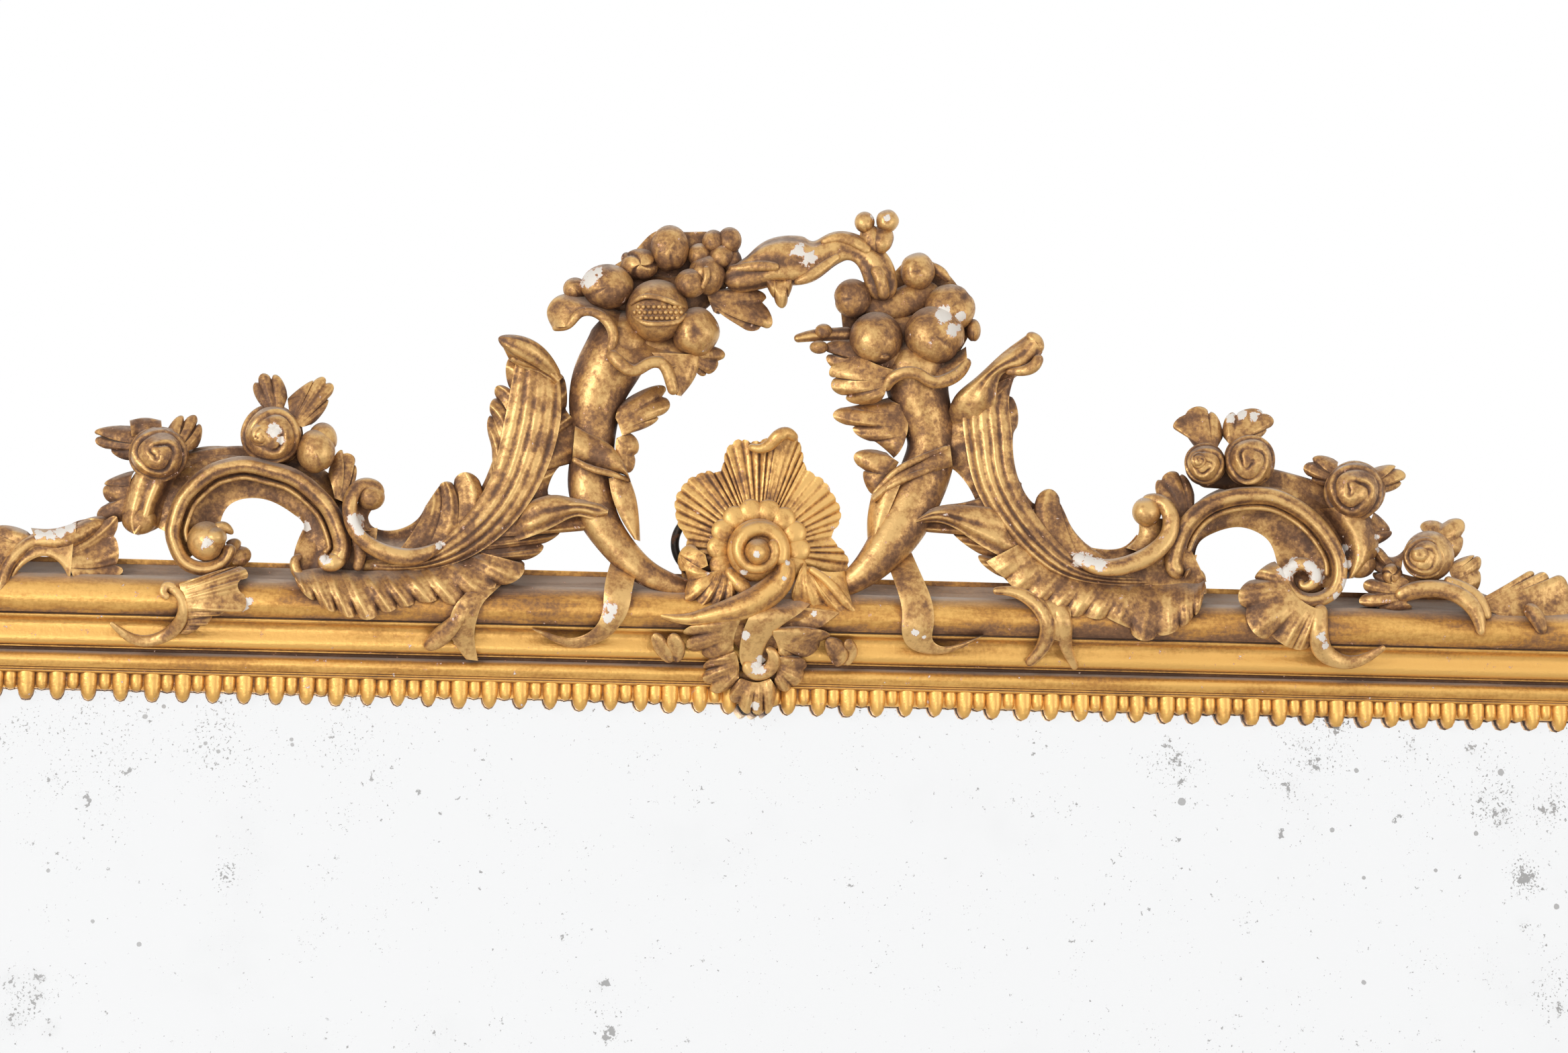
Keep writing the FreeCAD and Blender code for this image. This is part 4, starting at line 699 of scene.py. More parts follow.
    def finish(self, material: Material, nodes: Iterable[str],
               sharp_degrees: float = 55.0) -> bpy.types.Object:
        """Make the mesh, close its seams and poles, and let it stand for CAD nodes.

        Args:
            material: its finish.
            nodes: the CAD nodes that it replaces.
            sharp_degrees: edges bent more than this stay crisp.
        Returns:
            The finished object.
        """
        mesh = bpy.data.meshes.new(self.name)
        points, faces = np.concatenate(self.points), np.concatenate(self.faces)
        mesh.from_pydata(points, [], faces)
        # Stored on each point: its painted shading (shade, partly grime; below 0 a painted highlight) and its
        # depth in a gesso chip.
        for label, values in (("painted_shading_and_grime", self.painted_shading_and_grime), ("gesso", self.gesso)):
            layer = mesh.attributes.new(label, "FLOAT", "POINT")
            layer.data.foreach_set("value", np.concatenate(values).astype(np.float32))
        shape = bmesh.new()
        shape.from_mesh(mesh)
        bmesh.ops.remove_doubles(shape, verts=shape.verts, dist=self.weld_m)
        bmesh.ops.dissolve_degenerate(shape, edges=shape.edges, dist=self.shortest_m)
        bmesh.ops.recalc_face_normals(shape, faces=shape.faces)
        shape.to_mesh(mesh)
        shape.free()
        mesh.polygons.foreach_set("use_smooth", np.ones(len(mesh.polygons), dtype=bool))
        mesh.set_sharp_from_angle(angle=math.radians(sharp_degrees))
        mesh.materials.append(material)
        made = bpy.data.objects.new(self.name, mesh)
        bpy.context.scene.collection.objects.link(made)
        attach(made, BODY)
        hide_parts(*nodes)
        LOG.info("%s: %d faces for %s", self.name, len(mesh.polygons), ", ".join(nodes))
        return made


@dataclass
class Studio:
    """Pale floor, white surroundings and soft lamps."""

    floor_half_m: float = 6.0
    floor_gap_m: float = 0.0005
    floor_colour: tuple = (0.86, 0.86, 0.85, 1.0)
    ambient: float = 0.42
    lamps: tuple = (
        ("key", (-2.6, -3.2, 2.6), 2.0, 78.0),
        ("fill", (3.8, -2.6, 1.6), 2.0, 26.0),
        ("low", (-0.6, -3.4, 0.2), 1.6, 26.0),
    )
    aim: tuple = (0.0, 0.0, 1.45)

    def build(self) -> None:
        """Light the scene and lay the floor."""
        scene = bpy.context.scene
        scene.view_settings.view_transform = "Standard"
        self.surroundings(scene)
        for name, place, width, watts in self.lamps:
            data = bpy.data.lights.new(name, "AREA")
            data.energy, data.size = watts, width
            lamp = bpy.data.objects.new(name, data)
            lamp.location = place
            aim = Matrix.Translation(self.aim).to_translation() - lamp.location
            lamp.rotation_euler = aim.to_track_quat("-Z", "Y").to_euler()
            scene.collection.objects.link(lamp)
        self.floor(scene)

    def surroundings(self, scene: bpy.types.Scene) -> None:
        """White to the eye and in reflections, weaker as light on the object."""
        world = bpy.data.worlds.new("surroundings")
        world.use_nodes = True
        scene.world = world
        tree = world.node_tree
        path = tree.nodes.new("ShaderNodeLightPath")
        seen = path.outputs["Is Camera Ray"]
        for name in ("Is Glossy Ray", "Is Transmission Ray"):
            either = tree.nodes.new("ShaderNodeMath")
            either.operation = "MAXIMUM"
            tree.links.new(seen, either.inputs[0])
            tree.links.new(path.outputs[name], either.inputs[1])
            seen = either.outputs[0]
        strength = tree.nodes.new("ShaderNodeMapRange")
        tree.links.new(seen, strength.inputs["Value"])
        strength.inputs["To Min"].default_value = self.ambient
        strength.inputs["To Max"].default_value = 1.0
        sky = tree.nodes["Background"]
        sky.inputs["Color"].default_value = (1.0, 1.0, 1.0, 1.0)
        tree.links.new(strength.outputs["Result"], sky.inputs["Strength"])

    def floor(self, scene: bpy.types.Scene) -> None:
        """A plain pale floor just under the bottom rail."""
        half, low = self.floor_half_m, CAD_BOX[0][2] - self.floor_gap_m
        mesh = bpy.data.meshes.new("floor")
        corners = [(-half, -half, low), (half, -half, low), (half, half, low), (-half, half, low)]
        mesh.from_pydata(corners, [], [(0, 1, 2, 3)])
        make = Shader("floor")
        make.surface.inputs["Base Color"].default_value = self.floor_colour
        make.surface.inputs["Roughness"].default_value = 0.9
        mesh.materials.append(make.material)
        floor = bpy.data.objects.new("floor", mesh)
        scene.collection.objects.link(floor)


@dataclass
class Carcass:
    """Softwood frame, boards and ironwork: CAD pieces that only need their finish."""

    upright: tuple = ("left_stile", "right_stile", "corner_pegs")
    level: tuple = ("top_rail", "bottom_rail", "plate_blocks")
    boards: tuple = ("backboard_1", "backboard_2", "backboard_3", "backboard_4")
    board_tones: tuple = (1.0, 0.8, 1.12, 0.9)
    iron: tuple = ("backboard_nails", "ring_staple", "hanging_ring")
    plate: tuple = ("mirror_plate",)
    dowel_columns: tuple = (120, 300, 590, 1044, 1132, 1232, 1640, 1940, 2066)
    dowel_rows: tuple = (914.0, 874.0)
    dowel_front: float = 28.0
    dowel_radius: float = 9.0

    def dowels(self, material: Material) -> None:
        """Short dowels that stand in the top moulding and end inside the carvings above it."""
        piece = Piece("short_crest_dowels")
        for column in self.dowel_columns:
            rows = [(column, row, self.dowel_radius, self.dowel_front) for row in self.dowel_rows]
            piece.roll(rows, 12, 12)
        piece.finish(material, ["crest_dowels"])

    def dress(self) -> None:
        """Give each CAD node its finish."""
        finishes = (
            (self.upright, BareWood("upright_softwood", (90, 90, 5)).material()),
            (self.level, BareWood("level_softwood", (5, 90, 90)).material()),
            (self.iron, ForgedIron().material()),
            (self.plate, SilveredGlass().material()),
        )
        for cut, (board, tone) in enumerate(zip(self.boards, self.board_tones)):
            plain = BareWood(f"{board}_softwood", (6, 110, 110), 7.3 * (cut + 1))
            light, dark = ((*(tone * part for part in shade[:3]), 1.0) for shade in (plain.light, plain.dark))
            finishes += (((board,), replace(plain, light=light, dark=dark).material()),)
        self.dowels(finishes[0][1])
        for nodes, material in finishes:
            for node in nodes:
                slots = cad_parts[node].data.materials
                slots.clear()
                slots.append(material)
                LOG.info("%s: dressed", node)


@dataclass
class Moulding:
    """The stepped moulding round the plate, mitred at the corners, and its row of hanging tongues.

    A section point is a rise, measured outward from the tongue tips, and a stand proud of the plate.
    """

    plate_front: float = 20.0
    seat_front: float = 13.0
    tongue_length: float = 14.8
    tongue_width: float = 9.9
    dart_width: float = 7.5
    dart_length: float = 9.4
    air: float = 1.7
    pitch: float = 17.0
    edge_width: float = 17.3
    face_width: float = 80.0
    waviness: float = 0.22
    along: int = 260
    bead_steps: int = 90
    chip: tuple = (-291.0, 51.0, 5.0)
    sides: tuple = ("top", "bottom", "left", "right")
    level: tuple = ("top", "bottom")
    arcs: tuple = (
        ((17.3, 11.0), (21.6, 13.8), (25.9, 11.0)),
        ((25.9, 11.0), (27.0, 9.6), (28.1, 10.0)),
        ((28.1, 10.0), (28.1, 11.4), (28.15, 12.8)),
        ((28.15, 12.8), (28.6, 12.95), (29.1, 12.8)),
        ((29.1, 12.8), (30.4, 18.0), (36.0, 18.8)),
        ((36.0, 18.8), (41.3, 19.6), (42.7, 24.8)),
        ((42.7, 24.8), (43.9, 25.9), (45.1, 24.8)),
        ((45.1, 27.92), (55.0, 33.6), (67.0, 23.8)),
        ((67.0, 23.8), (70.5, 8.9), (77.0, 0.0)),
        ((77.0, 0.0), (78.5, 0.0), (80.0, 0.0)),
        ((80.0, 0.0), (80.0, -3.5), (80.0, -7.0)),
    )
    # Painted shading at the start, middle and end of each stretch: painted shade on the torus and in the
    # small coves, painted highlight (below 0) on the belly of the ogee.
    painted_light_and_shade: tuple = ((0.9, 0.25, 0.6), (1.2, 1.4, 1.2), (0.9, 0.7, 0.5), (0.2, 0.1, 0.2), (0.5, -0.6, -0.9),
        (-0.9, -0.5, 0.6), (0.7, 0.1, 0.9), (1.5, 0.75, 0.85), (0.5, 0.5, 0.5), (0.6, 0.6, 0.6),
        (0.9, 0.9, 0.9))

    def half_sizes(self) -> tuple[float, float, float]:
        """Return half the sight width, half its height and the height of its middle, in millimetres."""
        middle = (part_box("top_rail")[1][2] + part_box("bottom_rail")[0][2]) / 2 / MM
        return -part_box("sight_edge_left")[1][0] / MM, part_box("sight_edge_top")[0][2] / MM - middle, middle

    def section(self) -> tuple[Array, Array]:
        """Return the section's points and the painted shading of each: shade above 0, highlight below 0.

        Every stretch is a parabola through its start, middle and end, sampled evenly.
        """
        t = np.linspace(0, 1, 9)[:, None]
        points, painted_shading_and_grime = [], []
        for arc, shade in zip(np.array(self.arcs), np.array(self.painted_light_and_shade)):
            start, middle, end = np.column_stack([arc, shade])
            ahead = 2 * (middle - (start + end) / 2)
            stretch = start + (end - start) * t + ahead * 2 * t * (1 - t)
            points.append(stretch[:, :2])
            painted_shading_and_grime.append(stretch[:, 2])
        return np.concatenate(points), np.concatenate(painted_shading_and_grime)

    def turn(self, side: str, x: Array, proud: Array, rise: Array) -> Array:
        """Set points of a length along the top on one side of the frame.

        Args:
            side: top, bottom, left or right.
            x: millimetres along the side from its middle.
            proud: millimetres proud of the plate.
            rise: millimetres outward from the tongue tips.
        Returns:
            Points in metres.
        """
        half_width, half_height, middle = self.half_sizes()
        out = rise + (half_height if side in self.level else half_width)
        across, up = {"top": (x, out), "bottom": (-x, -out), "left": (-out, x), "right": (out, -x)}[side]
        return np.stack([across, -self.plate_front - proud, up + middle], axis=-1) * MM

    def half_length(self, side: str) -> float:
        """Return half the sight length of a side."""
        return self.half_sizes()[0 if side in self.level else 1]

    def build(self, level: Material, upright: Material) -> None:
        """Build the four mouldings and the four rows of tongues.

        Args:
            level: gilding streaked along the top and bottom.
            upright: gilding streaked along the sides.
        """
        for seed, side in enumerate(self.sides):
            material = level if side in self.level else upright
            self.length(side, seed, material)
            self.tongues(side, seed, material)

    def carry(self, piece: Piece, side: str, rise: Array, proud: Array, painted_shading_and_grime: Array,
              gesso: Array) -> None:
        """Add a closed section carried along a side, mitred and capped at both ends.

        Args:
            piece: takes the surfaces.
            side: top, bottom, left or right.
            rise: millimetres outward from the tongue tips, one row for each step along the side.
            proud: millimetres proud of the plate.
            painted_shading_and_grime: how dark each point is painted as shade, partly grime; values below 0
                paint a highlight. The caps are painted fully dark as shade.
            gesso: how deep in a chip each point lies.
        """
        solid = self.turn(side, self.steps(side, rise), proud, rise)
        piece.take(solid, quads(np.arange(rise.size).reshape(rise.shape)), painted_shading_and_grime, gesso)
        for end in (solid[0], solid[-1]):
            ring = np.stack([end, np.broadcast_to(end.mean(axis=0), end.shape)])
            loop = np.arange(len(end))
            after = np.roll(loop, -1)
            cap = np.stack([loop, after, after + len(end), loop + len(end)], axis=-1)
            # The caps are painted fully dark as shade.
            piece.take(ring, cap, np.ones(ring.shape[:2]), np.zeros(ring.shape[:2]))

    def steps(self, side: str, rise: Array) -> Array:
        """Return even places along a side, in millimetres; each rise runs to its own mitre."""
        return np.linspace(-1, 1, len(rise))[:, None] * (self.half_length(side) + rise)

    def length(self, side: str, seed: int, material: Material) -> None:
        """One mitred length: the section carried along the side, waving a little as hand-planed gesso does.

        Args:
            side: top, bottom, left or right.
            seed: shifts the waves.
            material: its gilding.
        """
        points, painted_shading_and_grime = self.section()
        seat = self.seat_front - self.plate_front
        points = np.concatenate([points, [[self.face_width, seat], [self.edge_width, seat]]])
        # The seat faces are painted fully dark as shade.
        painted_shading_and_grime = np.concatenate([painted_shading_and_grime, [1.0, 1.0]])
        rise = np.broadcast_to(points[:, 0], (self.along, len(points)))
        x = self.steps(side, rise)
        waves = np.sin(x / 61.0 + seed + rise / 9) + 0.6 * np.sin(x / 23.0 + 2 * seed - rise / 5)
        proud = points[:, 1] + self.waviness * waves * (points[:, 1] > 1)
        piece = Piece(f"gilded_moulding_{side}")
        self.carry(piece, side, rise, proud, np.broadcast_to(painted_shading_and_grime, rise.shape), self.chips(side, x, rise))
        piece.finish(material, [f"moulding_{side}"], sharp_degrees=38.0)

    def chips(self, side: str, x: Array, rise: Array) -> Array:
        """Return how deep points lie in the one chip of the top moulding."""
        along, height, radius = self.chip
        away = np.hypot(x - along, rise - height) / radius
        return np.clip(CHIP_RIM - away, 0, 1) * (side == "top")

    def tongues(self, side: str, seed: int, material: Material) -> None:
        """A row of tongues with darts between them, hanging from a double bead.

        Args:
            side: top, bottom, left or right.
            seed: draws the small differences between tongues.
            material: its gilding.
        """
        piece = Piece(f"gilded_tongues_{side}")
        count = int(2 * self.half_length(side) / self.pitch)
        middles = (np.arange(count) - (count - 1) / 2) * self.pitch
        chance = np.random.default_rng(seed + 5)
        jitter = chance.normal(0, 0.28, count)
        self.bullets(piece, side, middles + jitter, self.tongue_width, self.tongue_length, 9.0, 3.0, chance)
        gaps = (middles[:-1] + middles[1:]) / 2 + jitter[1:] / 2
        self.bullets(piece, side, gaps, self.dart_width, self.dart_length, 7.6, 7.0, chance)
        t = np.linspace(0, 1, 17)
        beads = 8.4 + 1.2 * t + 0.75 * np.abs(np.sin(2 * math.pi * t))
        rise = np.concatenate([[15.4, 6.2, 6.2, 14.5], 14.6 + 2.7 * t, [self.edge_width]])
        proud = np.concatenate([[self.air, self.air, 4.4, 5.4], beads, [0.15]])
        rise, proud = (np.broadcast_to(values, (self.bead_steps, len(values))) for values in (rise, proud))
        # The beads are painted a little dark as shade.
        self.carry(piece, side, rise, proud, np.full(rise.shape, 0.3), np.zeros(rise.shape))
        piece.finish(material, [f"sight_edge_{side}"], sharp_degrees=70.0)

    def bullets(self, piece: Piece, side: str, middles: Array, width: float, length: float, proud: float,
                blunt: float, chance: np.random.Generator) -> None:
        """Add many half bullets to a row at once, each a little different in width and length.

        t runs from root to tip and a from edge to edge. The half width is that of the root times the square
        root of 1 less a power of t, and the bullet swells forward by the cosine of a.

        Args:
            piece: takes them.
            side: top, bottom, left or right.
            middles: their places along the side.
            width: at the root, in millimetres.
            length: from root to tip.
            proud: how far they stand proud of the plate.
            blunt: the power of t; a higher one gives a blunter tip.
            chance: draws the differences.
        """
        t = np.array([0.0, 0.0, 0.45, 0.75, 0.92, 1.0])
        a = np.linspace(-math.pi / 2, math.pi / 2, 7)
        scale = 1 + chance.normal(0, 0.035, (len(middles), 1, 1))
        dome = np.sqrt(1 - t ** blunt) * np.array([0, 1, 1, 1, 1, 0])
        half = width / 2 * dome[None, :, None] * scale
        shape = (len(middles), len(t), len(a))
        front_x = middles[:, None, None] + half * np.sin(a)
        drop = np.broadcast_to(np.maximum(self.tongue_length - (length * scale) * t[None, :, None], 0),
            shape)
        forward = self.air + (proud - self.air) * (0.4 + 0.6 * np.cos(a)) * np.sqrt(dome)[None, :, None]
        x = np.concatenate([front_x, front_x[..., ::-6]], axis=2)
        rise = np.concatenate([drop, drop[..., :2]], axis=2)
        stand = np.concatenate([np.broadcast_to(forward, shape), np.full((*shape[:2], 2), self.air)], axis=2)
        solid = self.turn(side, x, stand, rise)
        shade = np.broadcast_to(np.concatenate([0.5 * np.abs(np.sin(a)) ** 3, np.ones(2)]), rise.shape)
        piece.take(solid, quads(np.arange(rise.size).reshape(rise.shape)), shade, np.zeros(rise.shape))


def with_front(rows: Rows, front: Fronts) -> Array:
    """Add a front to rows of pixels that have none.

    Args:
        rows: pixel u and pixel v, or these and a front.
        front: one value, or the values that it runs between evenly from the first row to the last.
    Returns:
        Rows of pixel u, pixel v and front.
    """
    table = np.asarray(rows, dtype=float)
    if table.shape[1] > 2:
        return table
    first, last = front if isinstance(front, tuple) else (front, front)
    return np.column_stack([table, np.linspace(first, last, len(table))])


def beside(rows: Rows, offset: float, count: int = 40) -> Array:
    """Return a path that runs beside another, so many pixels to the right of its travel."""
    path = smooth(np.asarray(rows, dtype=float)[:, :2], count)
    return path + sideways(path) * offset


def scalloped(points: Array, lobe: int, sharp: float) -> tuple[Array, Array]:
    """Bulge a leaf's edge from notch to tip to notch.

    A lobe is the straight line between its notches plus the way from that line's middle to its tip,
    swelling as a power of half a sine wave. Three ripples run over it.

    Args:
        points: notch, tip, notch, tip and so on to a last notch.
        lobe: samples on each lobe.
        sharp: the power; more than 1 gives pointed tips.
    Returns:
        The edge and its wave, -1 in a notch and 1 at a tip.
    """
    t = np.linspace(0, 1, lobe, endpoint=False)[None, :, None]
    notch, tip, after = points[:-1:2, None], points[1::2, None], points[2::2, None]
    swell = np.sin(math.pi * t) ** sharp
    edge = notch + (after - notch) * t + (tip - (notch + after) / 2) * swell
    wave = -0.8 * np.cos(2 * math.pi * t) - 0.2 * np.cos(6 * math.pi * t)
    wave = np.broadcast_to(wave[..., 0], edge.shape[:2])
    return np.concatenate([edge.reshape(-1, 3), points[-1:]]), np.append(wave.ravel(), -1.0)


@dataclass(frozen=True)
class Roll:
    """A round roll of wood: rows of pixel u, pixel v, radius in pixels and front in millimetres."""

    rows: Rows
    depth: float = 1.0
    flutes: int = 0
    groove: float = 0.0
    twist: float = 0.0
    count: int = 40
    ring: int = 18

    def add(self, piece: Piece) -> None:
        """Put the roll into a piece."""
        piece.roll(self.rows, self.count, self.ring, self.depth, self.flutes, self.groove, self.twist)


@dataclass(frozen=True)
class Fan:
    """A leaf or half leaf: flutes that run from a root curve out to a scalloped edge."""

    root: Rows
    edge: Rows
    root_front: Fronts = 44.0
    edge_front: Fronts = 40.0
    bulge: float = 2.0
    bow: float = 0.08
    flute: float = 0.5
    thickness: float = 8.0
    sharp: float = 0.5
    lobe: int = 14
    across: int = 16
    power: float = 1.1
    shallow: float = 0.35

    def add(self, piece: Piece) -> None:
        """Put the leaf into a piece; its inner notches move a share of the way out to the tips beside."""
        rows = with_front(self.edge, self.edge_front).copy()
        rows[2:-2:2] += self.shallow * ((rows[1:-3:2] + rows[3:-1:2]) / 2 - rows[2:-2:2])
        edge, wave = scalloped(rows, self.lobe, self.sharp)
        root = smooth(with_front(self.root, self.root_front), len(edge))
        piece.patch(root, edge, self.across, self.bulge, self.bow, wave, self.flute, self.thickness,
            self.power)


@dataclass(frozen=True)
class Band:
    """A smooth strip between two curves, dished or full, with even ridges along its rules when asked."""

    first: Rows
    second: Rows
    first_front: Fronts = 40.0
    second_front: Fronts = 40.0
    bulge: float = 0.0
    bow: float = 0.0
    ridges: float = 0.0
    flute: float = 0.0
    thickness: float = 6.0
    count: int = 44
    across: int = 14
    strands: float = 0.0
    strand: float = 1.3
    sink: tuple[float, float] = (0.0, 0.0)
    sunk_share: float = 0.3

    def add(self, piece: Piece) -> None:
        """Put the strip into a piece; its ends sink back, so many millimetres, into what they grow from."""
        first = smooth(with_front(self.first, self.first_front), self.count)
        second = smooth(with_front(self.second, self.second_front), self.count)
        s = np.linspace(0, 1, self.count)
        start, end = np.clip(1 - s / self.sunk_share, 0, 1), np.clip(1 - (1 - s) / self.sunk_share, 0, 1)
        sunk = self.sink[0] * start ** 2 + self.sink[1] * end ** 2
        first[:, 2] -= sunk
        second[:, 2] -= sunk
        wave = np.cos(2 * math.pi * self.ridges * s)
        across = max(self.across, int(self.strands * 9) + 2)
        piece.patch(first, second, across, self.bulge, self.bow, wave, self.flute, self.thickness, 0.4,
                    self.strands, self.strand)


class Swell(Enum):
    """How a rounded body is carved."""

    PLAIN = "plain"
    CLEFT = "cleft"
    DIMPLE = "dimple"
    BUD = "bud"
    ROSE = "rose"


@dataclass(frozen=True)
class Bulb:
    """A rounded body, carved as a plain ball, a cleft or dimpled fruit, a closed bud or a rose."""

    centre: tuple[float, float, float]
    radius: tuple[float, float]
    depth: float
    carved: Swell = Swell.PLAIN
    turned: float = 0.0
    shape: tuple[int, int] = (26, 40)

    def ripple(self) -> Array:
        """Return the share by which the radius grows, by tilt from the front and turn about it.

        A cleft is a narrow dip along one meridian and a dimple a dip at the pole. A bud has three clefts that
        wind round it. A rose is one petal wound round itself, a lip that falls to a groove on every turn.
        """
        tilt = np.linspace(0, math.pi, self.shape[0])[:, None]
        turn = np.linspace(0, 2 * math.pi, self.shape[1], endpoint=False)[None, :] - self.turned
        if self.carved is Swell.CLEFT:
            return -0.06 * np.exp(-((1 - np.cos(turn)) / 0.02)) * np.sin(tilt) ** 0.5
        if self.carved is Swell.DIMPLE:
            return -0.09 * np.exp(-(tilt / 0.26) ** 2) + 0.02 * np.cos(5 * turn) * np.sin(tilt)
        if self.carved is Swell.BUD:
            cleft = np.exp(-((1 - np.cos(3 * turn + 2.2 * tilt)) / 0.12))
            return -0.16 * cleft * np.sin(np.minimum(tilt + 0.3, 1.57))
        if self.carved is Swell.ROSE:
            wound = 1.75 * tilt - turn / (2 * math.pi) + 0.10 * np.sin(3 * turn + 2.5 * tilt)
            petal = wound - np.floor(wound)
            lip = (1 - petal) ** 1.3 * np.minimum(1, petal / 0.2) * (
                0.75 + 0.35 * np.cos(2 * turn - 6 * tilt))
            edge = np.exp(-(np.minimum(petal, 1 - petal) / 0.11) ** 2)
            groove = edge * (0.6 + 0.4 * np.cos(3 * turn - 4 * tilt))
            return (0.12 * lip - 0.08 * groove) * np.minimum(1, tilt / 0.25)
        return np.zeros(self.shape)

    def add(self, piece: Piece) -> None:
        """Put the body into a piece."""
        piece.bulb(self.centre, self.radius, self.depth, self.ripple())


Form = Union[Roll, Fan, Band, Bulb, "Shell"]
Pieces = dict[str, list[Form]]


def spiral(centre: tuple[float, float], reach: tuple[float, float], degrees: tuple[float, float],
           radius: tuple[float, float], front: tuple[float, float], count: int) -> Array:
    """Return rows of a volute: a path whose reach, radius and front change evenly as it turns.

    Args:
        centre: pixel u and pixel v.
        reach: pixels from the centre, from and to.
        degrees: from and to, clockwise in the picture from the right.
        radius: of the roll in pixels, from and to.
        front: in millimetres, from and to.
        count: how many rows.
    Returns:
        Rows of pixel u, pixel v, radius and front.
    """
    spans = (reach, np.radians(degrees), radius, front)
    out, turn, thick, stand = (np.linspace(*span, count) for span in spans)
    return np.stack([centre[0] + out * np.cos(turn), centre[1] + out * np.sin(turn), thick, stand], axis=1)


@dataclass
class Carving:
    """A carved sub-assembly: each of its pieces is a list of forms that stands for one CAD node."""

    side: str

    def pieces(self) -> Pieces:
        """Return the forms of each piece of this side by the name of its CAD node."""
        return getattr(self, self.side)()

    def build(self, material: Material) -> None:
        """Build and gild every piece."""
        for node, forms in self.pieces().items():
            piece = Piece(f"carved_{node}")
            for form in forms:
                form.add(piece)
            piece.finish(material, [node])


